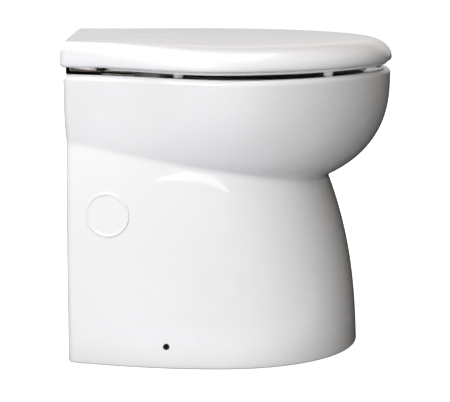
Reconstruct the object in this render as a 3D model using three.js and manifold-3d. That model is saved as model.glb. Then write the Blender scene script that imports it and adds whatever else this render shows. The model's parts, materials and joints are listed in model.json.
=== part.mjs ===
// Electric marine toilet: ceramic pedestal bowl, seat, wrap-over lid, chrome hinges, macerator pump,
// flush valve and control box. Millimetres, +Z up, origin on the floor in the middle of the footprint.
// +X is the nose of the bowl, -X the flat back that stands against the bulkhead.
import * as THREE from "three";
import { mergeVertices } from "three/addons/utils/BufferGeometryUtils.js";
import Module from "manifold-3d";

// Ceramic: heights
const rimHeight = 398.4;
const creaseNoseHeight = 247;
const creaseRearHeight = 305;
const bowlShoulderHeight = 385;
const rimEdgeRadius = 8;
const ceramicWall = 12;
const deckThickness = 13.4;

// Ceramic: outline of the rim, seen from above
const rimRear = -227;
const rimRearHalf = 113.5;
const rimHalf = 184;
const rimWidestAt = 19;
const rimNose = 230;
const rimPower = 1.66;
const rimEase = 0.8;
const cornerRadius = 12;
const innerCorner = 3;

// Ceramic: outline where the bowl meets the pedestal
const creaseRear = -225;
const creaseRearHalf = 108;
const creaseHalf = 152;
const creaseWidestAt = -15;
const creaseNose = 141.3;
const creasePower = 2.05;
const creaseEase = 0.4;

// Ceramic: outline on the floor
const baseRearHalf = 138;
const baseHalf = 169.5;
const baseWidestAt = -14;
const baseNose = 186.5;
const basePower = 2.1;
const baseEase = 0.07;

// Ceramic: how the sides run between those outlines
const skirtDraftShare = 0.21;
const skirtPower = 2.6;
const bowlPower = 2.5;
const bowlRoundness = 1.08;
const rearStepShare = 0.35;

// Ceramic: basin, flush rim and outlet
const openingRear = -105;
const openingNose = 190;
const openingHalf = 124;
const openingEdgeRadius = 6;
const openingAt = 42.5;
const rimLipWall = 8;
const rimLipHeight = 36.4;
const flushChannel = 12;
const dishDepth = 4;
const dishSlope = 10;
const dishRear = -168;
const basinDepth = 198;
const basinPower = 1.6;
const basinPlanPower = 2.15;
const basinWall = 12;
const outletAt = -41;
const outletBore = 27;
const spigotRadius = 34;
const spigotEnd = 150;

// Ceramic: openings and marks in the pedestal
const archHalf = 100;
const archHeight = 250;
const archCorner = 60;
const fixingHoleAt = -87.5;
const fixingHoleHeight = 31;
const fixingHoleRadius = 4.5;
const medallionAt = -168;
const medallionHeight = 210;
const medallionRadius = 31;
const medallionRise = 1.8;
const medallionShares = [[0, 0], [0.5, 0.67], [2, 1]];
const medallionRoot = 4;

// Seat and lid
const lidRear = -231;
const lidRearHalf = 115.5;
const lidHalf = 185;
const lidWidestAt = -11;
const lidNose = 231;
const lidPower = 1.83;
const lidEase = 1;
const lidEdgeGap = 10.2;
const lidHeight = 33.4;
const lidFootRise = 4.3;
const lidFootInset = 4.6;
const lidRoundNose = 38;
const lidRoundSide = 50;
const lidRoundCorner = 6;
const lidRoundRear = 7.5;
const lidRearRise = 2.6;
const lidCrown = 1.5;
const lidCrownShares = [0.5, 0.125];
const lidWall = 4;
const lidSideWall = 9.3;
const lidRoomRound = 31;
const lidRoomNose = 29;
const seatInset = 6.4;
const seatGap = 6.3;
const seatThickness = 18;
const seatFlangeHeight = 3.5;
const seatBodyInset = 12;
const seatCorner = 20;
const seatRear = -168;
const seatEdgeRadius = 6;
const seatFootRadius = 1.5;
const seatOpeningRear = -100;
const seatOpeningNose = 180;
const seatOpeningHalf = 112;
const seatOpeningAt = 40;
const seatDish = 4;
const seatPlanPower = 2.1;
const bufferRadius = 7;
const seatBufferRearAt = -69.5;
const seatBufferRearInset = 47;
const seatBufferFrontAt = 132;
const seatBufferFrontInset = 67;
const lidBufferAt = 112;
const lidBufferInset = 69;

// Hinges
const hingeSpacing = 155;
const axisInset = 13.5;
const hingeBaseLength = 49;
const hingeBaseDepth = 54;
const hingeBaseHeight = 11.3;
const hingeBaseCorner = 7;
const hingeBaseAt = -199.5;
const hingeFootHeight = 5;
const hingeFootInset = 7.5;
const hingeEarWidth = 5;
const knuckleWidth = 8;
const knuckleRadius = 6;
const knuckleGap = 1;
const pinRadius = 3.5;
const pinClearance = 0.3;
const pinHeadRadius = 4.8;
const pinHeadWidth = 1.5;
const hingeArmHeight = 6;
const hingeEarHalf = 4.5;
const hingeLegWidth = 4;
const seatLeafEnd = -129;
const seatLeafThickness = 5.3;
const seatLeafInset = 11;
const seatLeafLift = 0.7;
const lidLeafLength = 66;
const lidLeafThickness = 3.5;
const notchMargin = 2;
const notchReach = 15.5;
const hingeSlotLength = 23;
const hingeSlotMargin = 0.5;
const studRadius = 4;
const studLength = 53.4;
const studHoleRadius = 6;
const nutFlangeRadius = 14;
const nutFlangeThickness = 3;
const nutRadius = 9;
const nutHeight = 12;
const wingSpan = 36;
const wingThickness = 4;

// Pump and motor, on one shaft along X
const pumpAxisHeight = 85;
const pumpRadius = 44;
const pumpWall = 5;
const maceratorLength = 70;
const maceratorFront = -6;
const neckBore = 28;
const plateThickness = 3.4;
const plateHoleRadius = 7;
const plateHoleRing = 24;
const plateHoles = 6;
const voluteLength = 42;
const voluteWall = 7;
const portRadius = 19;
const portBore = 15;
const portReach = 46;
const portStart = 20;
const shaftRadius = 5;
const shaftEndFloat = 1;
const bladeAt = -15;
const bladeTipGap = 3;
const bladeWidth = 13;
const bladeThickness = 6;
const bladeHubRadius = 10;
const impellerGap = 6;
const impellerLength = 20;
const impellerRadius = 33;
const impellerVanes = 4;
const impellerVaneWall = 3.5;
const motorRadius = 36;
const motorWall = 2.7;
const motorNoseGap = 49.2;
const motorFrontWall = 3.7;
const armatureRadius = 24;
const armatureStart = 62;
const armatureTail = 21.3;
const armatureSlots = 6;
const armatureSlotWidth = 5;
const armatureSlotDepth = 7;
const magnetRadius = 27;
const magnetDrop = 11;
const magnetMargin = 6;
const windingRadius = 20;
const windingLength = 6;
const bearingRadius = 11;
const bearingWidth = 8;
const sealRadius = 12;
const sealWidth = 4.6;
const endCapLength = 14;
const endCapRim = 3;
const bearingBoss = 4;

// Sleeve between bowl and pump
const sleeveWall = 4.5;
const sleeveLength = 40;
const clampWall = 2;
const clampWidth = 10;
const clampInset = 4;
const clampScrewLength = 16;
const clampScrewDepth = 9;

// Pump stand
const saddleStart = 62;
const saddleTail = 19.3;
const saddleHalf = 48;
const saddleWall = 3;
const saddleTop = 68;
const saddleWebAt = 26;
const footHeight = 9.7;
const footWidth = 18;
const footAt = 36;

// Discharge
const elbowBend = 30;
const elbowTail = 37;
const elbowLead = 4;
const jokerFlange = 4;
const jokerRadius = 11;
const jokerLength = 26;
const jokerTip = 3;
const tailEnd = -226;
const tailCollarLength = 12;
const tailCollarRadius = 21;
const tailRadius = 17;
const barbRadius = 19;
const barbLength = 12;
const barbCount = 3;

// Flush water
const valveAt = -172;
const valveSide = 92;
const valveBottom = 140;
const valveHeight = 35;
const valveLength = 49;
const valveDepth = 32;
const valveSeatHeight = 168;
const valveOrifice = 4;
const barbStubRadius = 8;
const barbStubBore = 5;
const inletLength = 40;
const outletStubAt = -199;
const outletStubLength = 30;
const stemRadius = 7;
const stemBore = 5.4;
const stemHeight = 40;
const stemCap = 3;
const passageRadius = 2.5;
const passageHeight = 171;
const coilRadius = 14;
const coilHeight = 32;
const coilLift = 3;
const terminalLength = 9;
const terminalHalf = 6;
const terminalHeight = 14;
const plungerRadius = 5;
const plungerLength = 27;
const springRadius = 3.6;
const springWire = 0.6;
const springTurns = 5;
const bracketThickness = 3;
const bracketBottom = 130;
const bracketTop = 190;
const bracketInner = 72;
const bracketOuter = 108;
const hoseWall = 2.2;
const spudBelowRim = 32.4;
const spudRadius = 10;
const spudFlange = 15;
const spudFlangeLength = 4;
const spudBore = 6;
const spudPlay = 4;
const spudDrop = 30;
const hoseOverlap = 20;
const hoseStraight = 3;
const hoseLap = 14;
const hoseRoute = [
  [-197, -86, 232],
  [-189, -66, 258],
  [-176, -38, 282],
  [-162, -12, 305],
];
const spudTurnAt = -152;

// Control box
const boxLength = 50;
const boxDepth = 32;
const boxHeight = 80;
const boxBottom = 125;
const boxOuterSide = 106;
const boxWall = 2.5;
const boxCoverThickness = 3.2;
const boardThickness = 1.6;
const boardMargin = 4;
const boardStandoff = 6;
const relayLength = 20;
const relayDepth = 13;
const glandRadius = 9;
const glandBore = 3.9;
const glandLength = 12;
const glandFlats = 6;
const leadRadius = 3.5;
const leadInset = 6.5;
const leadDrop = 12;
const leadLanding = 7;
const leadRoute = [
  [-172, 104, 95],
  [-155, 114, 70],
  [-120, 121, 45],
  [-70, 121, 23],
  [0, 111, 11],
  [60, 94, 10],
];
const leadRise = [
  [39.6, 78, 20],
  [12.6, 68, 40],
  [0, 60, 65],
  [0, 50, 81],
];
const leadAt = -176;
const glandAt = -198;
const glandInset = 16;

// Floor brackets behind the fixing holes
const floorBracketWidth = 24;
const floorBracketHeight = 45;
const floorBracketFoot = 30;
const floorBracketThickness = 3;

// Clearances and cutting
const fit = 0.3;
const slide = 0.15;
const overrun = 3;

// Resolution
const REAR_STEPS = 2;
const CORNER_STEPS = 3;
const SIDE_STEPS = 5;
const NOSE_STEPS = 8;
const SKIRT_RINGS = 5;
const BOWL_RINGS = 6;
const EDGE_STEPS = 2;
const BASIN_SIDES = 28;
const BASIN_RINGS = 6;
const ROUND = 20;
const COARSE = 12;
const FINE = 28;
const DOME_STEPS = 4;
const MARK_SIDES = 24;
const ELBOW_STEPS = 5;
const HOSE_SIDES = 10;
const HOSE_STEPS = 16;
const LEAD_SIDES = 6;
const LEAD_STEPS = 32;
const SPRING_SIDES = 5;
const SPRING_STEPS = 7;
const SMALL = 16;

// Places worked out from the sizes above
const axisX = lidRear + axisInset;
const lidFoot = rimHeight + lidEdgeGap;
const lidTop = lidFoot + lidHeight;
const axisZ = lidTop - axisInset;
const lidBufferSide = lidHalf - lidBufferInset;
const spudHeight = rimHeight - spudBelowRim;
const lidCeiling = lidTop - lidCrown - lidWall;
const seatUnder = rimHeight + seatGap;
const seatTop = seatUnder + seatThickness;
const deckUnder = rimHeight - deckThickness;
const dishBottom = rimHeight - dishDepth;
const bladeSpan = 2 * (pumpRadius - pumpWall - bladeTipGap);
const seatBufferRearSide = lidHalf - seatBufferRearInset;
const seatBufferFrontSide = lidHalf - seatBufferFrontInset;
const hingeSide = hingeSpacing / 2;
const skirtInnerRear = creaseRear + ceramicWall;
const basinTop = deckUnder;
const basinBottom = basinTop - basinDepth;
const pumpFront = maceratorFront + plateThickness + 2 * fit;
const voluteEnd = pumpFront + voluteLength;
const motorStart = voluteEnd + fit;
const motorEnd = baseNose - motorNoseGap;
const armatureLength = motorEnd - armatureTail - armatureStart;
const saddleLength = motorEnd - saddleTail - saddleStart;
const portAt = pumpFront + portRadius + fit;
const impellerStart = pumpFront + impellerGap;
const shaftStart = bladeAt + bladeThickness + fit;
const shaftEnd = motorEnd - shaftEndFloat;
const pipeSide = portReach + elbowBend;
const pipeStart = portAt - elbowBend - elbowTail;
const lidWaist = lidFoot + lidFootRise;
const lidFlat = lidTop - lidCrown;
const seatBodyFoot = seatUnder + seatFlangeHeight;

// Materials
function finish(color, roughness, metalness) {
  return new THREE.MeshStandardMaterial({ color, roughness, metalness });
}
const ceramic = finish(0xf1f1ef, 0.12, 0);
const seatPlastic = finish(0xf3f3f2, 0.22, 0);
const whiteRubber = finish(0xe6e6e2, 0.6, 0);
const chrome = finish(0xc9c9cc, 0.12, 1);
const steel = finish(0xb4b6b8, 0.35, 1);
const blackPlastic = finish(0x1d1e20, 0.5, 0);
const greyPlastic = finish(0x8b9095, 0.5, 0);
const whitePlastic = finish(0xdcdedd, 0.45, 0);
const blackRubber = finish(0x151515, 0.75, 0);
const motorPaint = finish(0x2b2f33, 0.45, 0.4);
const copper = finish(0xa8643a, 0.4, 0.9);
const brass = finish(0xb79a55, 0.3, 1);
const magnetGrey = finish(0x4a4c4e, 0.6, 0.2);
const boardGreen = finish(0x2d6b45, 0.55, 0);

// Solids
const wasm = await Module();
wasm.setup();

function solid(geometry) {
  const bare = geometry.clone();
  bare.deleteAttribute("normal");
  bare.deleteAttribute("uv");
  const merged = mergeVertices(bare);
  const corners = merged.index.array;
  const places = merged.attributes.position;
  const at = [0, 1, 2].map(() => new THREE.Vector3());
  const faces = [];
  let volume = 0;
  for (let k = 0; k < corners.length; k += 3) {
    const [a, b, c] = corners.slice(k, k + 3);
    if (a === b || b === c || c === a) continue;
    faces.push([a, b, c]);
    [a, b, c].forEach((corner, place) => at[place].fromBufferAttribute(places, corner));
    volume += at[0].dot(at[1].cross(at[2]));
  }
  const outward = volume > 0 ? faces : faces.map(([a, b, c]) => [a, c, b]);
  return new wasm.Manifold(new wasm.Mesh({
    numProp: 3,
    vertProperties: new Float32Array(places.array),
    triVerts: new Uint32Array(outward.flat()),
  }));
}

function geometryOf(body) {
  const mesh = body.getMesh();
  const geometry = new THREE.BufferGeometry();
  geometry.setAttribute("position", new THREE.BufferAttribute(new Float32Array(mesh.vertProperties), 3));
  geometry.setIndex(new THREE.BufferAttribute(new Uint32Array(mesh.triVerts), 1));
  return geometry;
}

function joined(...bodies) {
  return bodies.reduce((sum, body) => sum.add(body));
}

function cut(body, ...tools) {
  return tools.reduce((rest, tool) => rest.subtract(tool), body);
}

// The biggest of the separate lumps that a cut left.
function largest(body) {
  return body.decompose().reduce((best, lump) => (lump.volume() > best.volume() ? lump : best));
}

const part = new THREE.Group();

function piece(name, body, material) {
  const mesh = new THREE.Mesh(geometryOf(body), material);
  mesh.name = name;
  part.add(mesh);
  return mesh;
}

function block(low, high) {
  const size = high.map((value, k) => value - low[k]);
  const middle = high.map((value, k) => (value + low[k]) / 2);
  return solid(new THREE.BoxGeometry(...size).translate(...middle));
}

// A closed profile of [radius, distance] points, turned about an axis through `centre`.
const turns = {
  x: new THREE.Matrix4().makeRotationZ(-Math.PI / 2),
  y: new THREE.Matrix4(),
  z: new THREE.Matrix4().makeRotationX(Math.PI / 2),
};

function turned(profile, axis, centre, sides = ROUND) {
  const points = profile.map(([radius, distance]) => new THREE.Vector2(radius, distance));
  points.push(points[0].clone());
  return solid(new THREE.LatheGeometry(points, sides).applyMatrix4(turns[axis]).translate(...centre));
}

// A ring between two distances along an axis, measured from `centre`. An inner radius of 0 makes a rod.
function ring(axis, inner, outer, from, to, centre = [0, 0, 0], sides = ROUND) {
  return turned([[inner, from], [outer, from], [outer, to], [inner, to]], axis, centre, sides);
}

function rod(axis, radius, from, to, centre = [0, 0, 0], sides = ROUND) {
  return ring(axis, 0, radius, from, to, centre, sides);
}

function circle(radius, sides) {
  const points = Array.from({ length: sides }, (_, k) => {
    const angle = (2 * Math.PI * k) / sides;
    return new THREE.Vector2(radius * Math.cos(angle), radius * Math.sin(angle));
  });
  return new THREE.Shape(points);
}

// A tube along a list of points. A bore of 0 makes it solid.
function tube(points, radius, bore, sides, steps) {
  const shape = circle(radius, sides);
  if (bore > 0) shape.holes.push(circle(bore, sides));
  const path = new THREE.CatmullRomCurve3(points.map((point) => new THREE.Vector3(...point)));
  return solid(new THREE.ExtrudeGeometry(shape, { steps, bevelEnabled: false, extrudePath: path }));
}

// A skin over rings of equal point count, each running anticlockwise seen from the end of the loft.
function loft(rings, closed = false) {
  const count = rings[0].length;
  const points = rings.flat();
  const faces = [];
  const last = closed ? rings.length : rings.length - 1;
  for (let level = 0; level < last; level++) {
    const low = level * count;
    const high = ((level + 1) % rings.length) * count;
    for (let k = 0; k < count; k++) {
      const next = (k + 1) % count;
      faces.push([low + k, low + next, high + next], [low + k, high + next, high + k]);
    }
  }
  if (!closed) {
    const top = (rings.length - 1) * count;
    const middles = [rings[0], rings[rings.length - 1]].map((loop) =>
      [0, 1, 2].map((axis) => loop.reduce((sum, point) => sum + point[axis], 0) / count));
    points.push(...middles);
    for (let k = 0; k < count; k++) {
      const next = (k + 1) % count;
      faces.push([points.length - 2, next, k], [points.length - 1, top + k, top + next]);
    }
  }
  const geometry = new THREE.BufferGeometry();
  geometry.setAttribute("position", new THREE.Float32BufferAttribute(points.flat(), 3));
  geometry.setIndex(faces.flat());
  return solid(geometry);
}

// Outlines seen from above. A plan is straight across the rear, widens to `half` at `widestAt` and
// closes in a rounded nose. `from` cuts it off ahead of its rear.
const rim = {
  rear: rimRear, rearHalf: rimRearHalf, half: rimHalf, widestAt: rimWidestAt, nose: rimNose,
  power: rimPower, ease: rimEase,
};
const crease = {
  rear: creaseRear, rearHalf: creaseRearHalf, half: creaseHalf, widestAt: creaseWidestAt, nose: creaseNose,
  power: creasePower, ease: creaseEase,
};
const base = {
  rear: creaseRear, rearHalf: baseRearHalf, half: baseHalf, widestAt: baseWidestAt, nose: baseNose,
  power: basePower, ease: baseEase,
};
const cover = {
  rear: lidRear, rearHalf: lidRearHalf, half: lidHalf, widestAt: lidWidestAt, nose: lidNose,
  power: lidPower, ease: lidEase,
};

function mixed(low, high, share) {
  return Object.fromEntries(Object.keys(low).map((key) => [key, low[key] + (high[key] - low[key]) * share]));
}

function inset(plan, bySide, byRear = bySide, byNose = bySide, byCorner = bySide) {
  return {
    ...plan,
    rear: plan.rear + byRear,
    rearHalf: plan.rearHalf - byCorner,
    half: plan.half - bySide,
    nose: plan.nose - byNose,
    corner: Math.max((plan.corner ?? cornerRadius) - byRear, innerCorner),
  };
}

function halfWidth(plan, x) {
  if (x > plan.widestAt) {
    const share = Math.min((x - plan.widestAt) / (plan.nose - plan.widestAt), 1);
    return plan.half * (1 - share ** plan.power) ** (1 / plan.power);
  }
  const start = plan.rear + (plan.corner ?? cornerRadius);
  const share = Math.max((x - start) / (plan.widestAt - start), 0);
  const swing = (1 - Math.cos(Math.PI * share)) / 2;
  const bulge = 1 - (1 - share) ** 2;
  return plan.rearHalf + (plan.half - plan.rearHalf) * (plan.ease * swing + (1 - plan.ease) * bulge);
}

function outline(plan) {
  const corner = plan.corner ?? cornerRadius;
  const from = plan.from ?? plan.rear;
  const start = from + corner;
  const startHalf = halfWidth(plan, start);
  const half = [];
  for (let k = 0; k < REAR_STEPS; k++) half.push([from, ((startHalf - corner) * k) / REAR_STEPS]);
  for (let k = 0; k <= CORNER_STEPS; k++) {
    const turn = (Math.PI / 2) * (k / CORNER_STEPS);
    half.push([start - corner * Math.cos(turn), startHalf - corner * (1 - Math.sin(turn))]);
  }
  for (let k = 1; k < SIDE_STEPS; k++) {
    const x = start + ((plan.widestAt - start) * k) / SIDE_STEPS;
    half.push([x, halfWidth(plan, x)]);
  }
  for (let k = 0; k <= NOSE_STEPS; k++) {
    const turn = (Math.PI / 2) * (k / NOSE_STEPS);
    const along = Math.sin(turn) ** (2 / plan.power);
    const across = Math.abs(Math.cos(turn)) ** (2 / plan.power);
    half.push([plan.widestAt + (plan.nose - plan.widestAt) * along, plan.half * across]);
  }
  return [...half.map(([x, y]) => [x, -y]), ...half.slice(1, -1).reverse()];
}

function level(points, z) {
  return points.map(([x, y]) => [x, y, z]);
}

// An egg-shaped hole, rounded at both ends, as a loop of its own or with a point for each of `toward`.
function egg(plan, by = 0) {
  const toward = Array.from({ length: BASIN_SIDES }, (_, k) => (2 * Math.PI * k) / BASIN_SIDES);
  return eggAt(plan, by, toward);
}

function eggAt(plan, by, angles) {
  return angles.map((angle) => {
    const reach = (Math.cos(angle) >= 0 ? plan.nose - plan.at : plan.at - plan.rear) + by;
    const along = Math.abs(Math.cos(angle) / reach) ** plan.power;
    const across = Math.abs(Math.sin(angle) / (plan.half + by)) ** plan.power;
    const radius = (along + across) ** (-1 / plan.power);
    return [plan.at + radius * Math.cos(angle), radius * Math.sin(angle)];
  });
}

// Ceramic bowl
const creaseSlope = (creaseRearHeight - creaseNoseHeight) / (creaseNose - creaseRear);

function creaseHeight(x) {
  return creaseNoseHeight + creaseSlope * (creaseNose - x);
}

function skirtPlan(share) {
  return mixed(base, crease, skirtDraftShare * share + (1 - skirtDraftShare) * share ** skirtPower);
}

function bowlPlan(share) {
  const plan = mixed(crease, rim, (1 - (1 - share) ** bowlPower) ** (1 / bowlRoundness));
  plan.rear = creaseRear + (rimRear - creaseRear) * Math.min(share / rearStepShare, 1);
  return plan;
}

function ceramicRings(by) {
  const rings = [];
  for (let k = 0; k <= SKIRT_RINGS; k++) {
    const share = k / SKIRT_RINGS;
    rings.push(outline(inset(skirtPlan(share), by)).map(([x, y]) => [x, y, creaseHeight(x) * share]));
  }
  for (let k = 1; k <= BOWL_RINGS; k++) {
    const share = k / BOWL_RINGS;
    rings.push(outline(inset(bowlPlan(share), by)).map(([x, y]) =>
      [x, y, creaseHeight(x) + (bowlShoulderHeight - creaseHeight(x)) * share]));
  }
  return rings;
}

function ceramicOutside() {
  const rings = ceramicRings(0);
  for (let k = 0; k <= EDGE_STEPS; k++) {
    const turn = (Math.PI / 2) * (k / EDGE_STEPS);
    const plan = inset(rim, rimEdgeRadius * (1 - Math.cos(turn)));
    rings.push(level(outline(plan), rimHeight - rimEdgeRadius * (1 - Math.sin(turn))));
  }
  return loft(rings);
}

function ceramicHollow() {
  const rings = ceramicRings(ceramicWall);
  return loft([level(rings[0], -overrun), ...rings.slice(0, -1), level(rings[rings.length - 1], deckUnder)]);
}

const opening = {
  rear: openingRear, nose: openingNose, half: openingHalf, at: openingAt, power: basinPlanPower,
};
const lipRim = rimLipWall + flushChannel;
const basinWide = {
  rear: openingRear - lipRim, nose: openingNose + lipRim, half: openingHalf + lipRim, at: openingAt,
  power: basinPlanPower,
};
const basinNarrow = {
  rear: outletAt - outletBore, nose: outletAt + outletBore, half: outletBore, at: outletAt, power: 2,
};

function basin(by, bottom) {
  const rings = [];
  for (let k = 0; k <= BASIN_RINGS; k++) {
    const share = (k / BASIN_RINGS) ** (1 / 2);
    const shrink = 1 - (1 - share ** basinPower) ** (1 / 2);
    rings.push(level(egg(mixed(basinWide, basinNarrow, shrink), by), basinTop + (bottom - basinTop) * share));
  }
  return loft(rings.reverse());
}

function openingCut() {
  const edge = openingEdgeRadius;
  const chamfer = edge * (1 - Math.SQRT1_2);
  return loft([
    level(egg(opening), rimHeight - rimLipHeight - overrun),
    level(egg(opening), rimHeight - edge),
    level(egg(opening, chamfer), rimHeight - chamfer),
    level(egg(opening, edge), rimHeight),
    level(egg(opening, edge), rimHeight + overrun),
  ]);
}

// The dip in the top of the rim under the seat, less a margin
function rimDish(by) {
  const round = (side, rear) => outline({ ...inset(rim, side), from: rear, corner: seatCorner });
  const wide = round(rimEdgeRadius + by, dishRear + by);
  const low = round(rimEdgeRadius + dishSlope + by, dishRear + dishSlope + by);
  return loft([level(low, dishBottom + by), level(wide, rimHeight), level(wide, rimHeight + overrun)]);
}

function rimLip() {
  const bottom = rimHeight - rimLipHeight;
  const plan = egg(opening, rimLipWall);
  return loft([level(plan, bottom), level(plan, deckUnder + overrun)]);
}

function medallion(side) {
  const rise = medallionRise;
  const steps = [
    [medallionRadius, -medallionRoot],
    ...medallionShares.map(([inward, up]) => [medallionRadius - inward * rise, up * rise]),
  ];
  const rings = steps.map(([radius, height]) => Array.from({ length: MARK_SIDES }, (_, k) => {
    const angle = (2 * Math.PI * k) / MARK_SIDES;
    const x = medallionAt + radius * Math.cos(angle);
    const z = medallionHeight + radius * Math.sin(angle);
    return [x, side * (halfWidth(skirtPlan(z / creaseHeight(x)), x) + height), z];
  }));
  return loft(rings);
}

function rearArch() {
  const shape = new THREE.Shape();
  const straight = archHeight - archCorner;
  shape.moveTo(-archHalf, -overrun);
  shape.lineTo(archHalf, -overrun);
  shape.lineTo(archHalf, straight);
  shape.absarc(archHalf - archCorner, straight, archCorner, 0, Math.PI / 2);
  shape.absarc(archCorner - archHalf, straight, archCorner, Math.PI / 2, Math.PI);
  const depth = 2 * ceramicWall;
  const options = { depth, bevelEnabled: false, curveSegments: CORNER_STEPS };
  const cutter = new THREE.ExtrudeGeometry(shape, options);
  cutter.rotateX(Math.PI / 2).rotateZ(Math.PI / 2);
  return solid(cutter.translate(creaseRear - ceramicWall / 2, 0, 0));
}

function china() {
  const room = largest(cut(ceramicHollow(), basin(basinWall, basinBottom - basinWall)));
  const shell = joined(cut(ceramicOutside(), room), medallion(-1), medallion(1));
  const fixing = rod("y", fixingHoleRadius, -baseHalf, baseHalf, [fixingHoleAt, 0, fixingHoleHeight], COARSE);
  const bolts = [-hingeSide, hingeSide].map((side) =>
    rod("z", studHoleRadius, deckUnder - overrun, rimHeight + overrun, [hingeBaseAt, side, 0], COARSE));
  const cuts = [cut(basin(0, basinBottom), rimLip()), openingCut(), rimDish(0), fixing, rearArch()];
  return cut(shell, ...cuts, ...bolts);
}

// The basin's outside with its spigot, grown by a margin
function basinOutside(by) {
  const spigot = rod("z", spigotRadius + by, spigotEnd, basinBottom, [outletAt, 0, 0], FINE);
  return joined(basin(basinWall + by, basinBottom - basinWall - by), spigot);
}

function ceramicBasin() {
  const outlet = rod("z", outletBore, spigotEnd - overrun, basinBottom + overrun, [outletAt, 0, 0], FINE);
  const inletFrom = openingRear - lipRim - basinWall - overrun;
  const inletTo = openingRear - rimLipWall - overrun;
  const inlet = rod("x", spudRadius + fit, inletFrom, inletTo, [0, 0, spudHeight], COARSE);
  const above = block([cover.rear, -cover.half, basinTop - fit],
    [cover.nose, cover.half, basinTop + overrun]);
  return cut(basinOutside(0), basin(0, basinBottom), outlet, inlet, above);
}

// Everything below the crease, less a margin
function underCrease(by) {
  const rings = [cover.rear - overrun, cover.nose + overrun].map((x) => {
    const top = creaseHeight(x) - by;
    const foot = [[x, -cover.half, -overrun], [x, cover.half, -overrun]];
    return [...foot, [x, cover.half, top], [x, -cover.half, top]];
  });
  return loft(rings);
}

// The china is three bodies: they meet at the crease and round the basin.
function buildChina() {
  const whole = china();
  const wall = cut(basinOutside(fit), basin(-fit, basinBottom));
  piece("ceramic_bowl", largest(cut(whole, wall, underCrease(-fit / 2))), ceramic);
  piece("ceramic_basin", ceramicBasin(), ceramic);
  piece("ceramic_pedestal", largest(cut(whole.intersect(underCrease(fit / 2)), basinOutside(fit))), ceramic);
}

// Seat
const seatOpening = {
  rear: seatOpeningRear, nose: seatOpeningNose, half: seatOpeningHalf, at: seatOpeningAt,
  power: seatPlanPower,
};

function seatOutline(by) {
  return outline({ ...inset(cover, by), from: seatRear, corner: seatCorner });
}

function seatRing() {
  const angles = seatOutline(seatBodyInset).map(([x, y]) => Math.atan2(y, x - seatOpeningAt));
  const hole = (by) => eggAt(seatOpening, by, angles);
  const foot = seatFootRadius;
  const edge = seatEdgeRadius;
  const chamfer = edge * (1 - Math.SQRT1_2);
  const innerTop = seatTop - seatDish;
  return loft([
    level(seatOutline(seatInset + foot), seatUnder),
    level(seatOutline(seatInset), seatUnder + foot),
    level(seatOutline(seatInset), seatBodyFoot),
    level(seatOutline(seatBodyInset), seatBodyFoot),
    level(seatOutline(seatBodyInset), seatTop - edge),
    level(seatOutline(seatBodyInset + chamfer), seatTop - chamfer),
    level(seatOutline(seatBodyInset + edge), seatTop),
    level(hole(edge), innerTop),
    level(hole(chamfer), innerTop - chamfer),
    level(hole(0), innerTop - edge),
    level(hole(0), seatUnder + foot),
    level(hole(foot), seatUnder),
  ], true);
}

// Lid, a cap that wraps over the seat
function lidOutside() {
  const lift = (x) => lidRearRise * Math.max(x / cover.rear, 0);
  const rings = [level(outline(inset(cover, lidFootInset)), lidFoot)];
  for (let k = 0; k <= DOME_STEPS; k++) {
    const turn = (Math.PI / 2) * (k / DOME_STEPS);
    const share = 1 - Math.cos(turn);
    const rise = Math.sin(turn);
    const round = [lidRoundSide, lidRoundRear, lidRoundNose, lidRoundCorner].map((size) => size * share);
    const loop = outline(inset(cover, ...round));
    rings.push(loop.map(([x, y]) => [x, y, lidWaist + (lidFlat - lidWaist + lift(x)) * rise]));
  }
  const flat = rings[rings.length - 1];
  lidCrownShares.forEach((share) => {
    const top = lidTop - lidCrown * share ** 2;
    rings.push(flat.map(([x, y]) => [x * share, y * share, top + lift(x * share)]));
  });
  return loft(rings);
}

function lidRoom(by) {
  const plans = (share) => inset(
    cover,
    lidSideWall + (lidRoomRound - lidSideWall) * share + by,
    lidWall + (lidRoundRear - lidWall) * share + by,
    lidSideWall + (lidRoomNose - lidSideWall) * share + by,
  );
  const rings = [level(outline(plans(0)), lidFoot - overrun)];
  for (let k = 0; k <= DOME_STEPS; k++) {
    const turn = (Math.PI / 2) * (k / DOME_STEPS);
    const height = lidWaist + (lidCeiling - by - lidWaist) * Math.sin(turn);
    rings.push(level(outline(plans(1 - Math.cos(turn))), height));
  }
  return loft(rings);
}

function lidNotch(side) {
  const reach = hingeBaseDepth / 2 + notchMargin;
  const top = axisZ - Math.sqrt(notchReach ** 2 - axisInset ** 2);
  return block([lidRear - overrun, side * hingeSide - reach, lidFoot - overrun],
    [axisX, side * hingeSide + reach, top]);
}

function lidSlot(side) {
  const reach = hingeEarWidth / 2 + hingeSlotMargin;
  return block([lidRear - overrun, side * hingeSide - reach, lidFoot - overrun],
    [lidRear + hingeSlotLength, side * hingeSide + reach, lidTop + lidRearRise + overrun]);
}

function lidShell() {
  return cut(lidOutside(), lidRoom(0), lidNotch(-1), lidNotch(1), lidSlot(-1), lidSlot(1));
}

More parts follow.
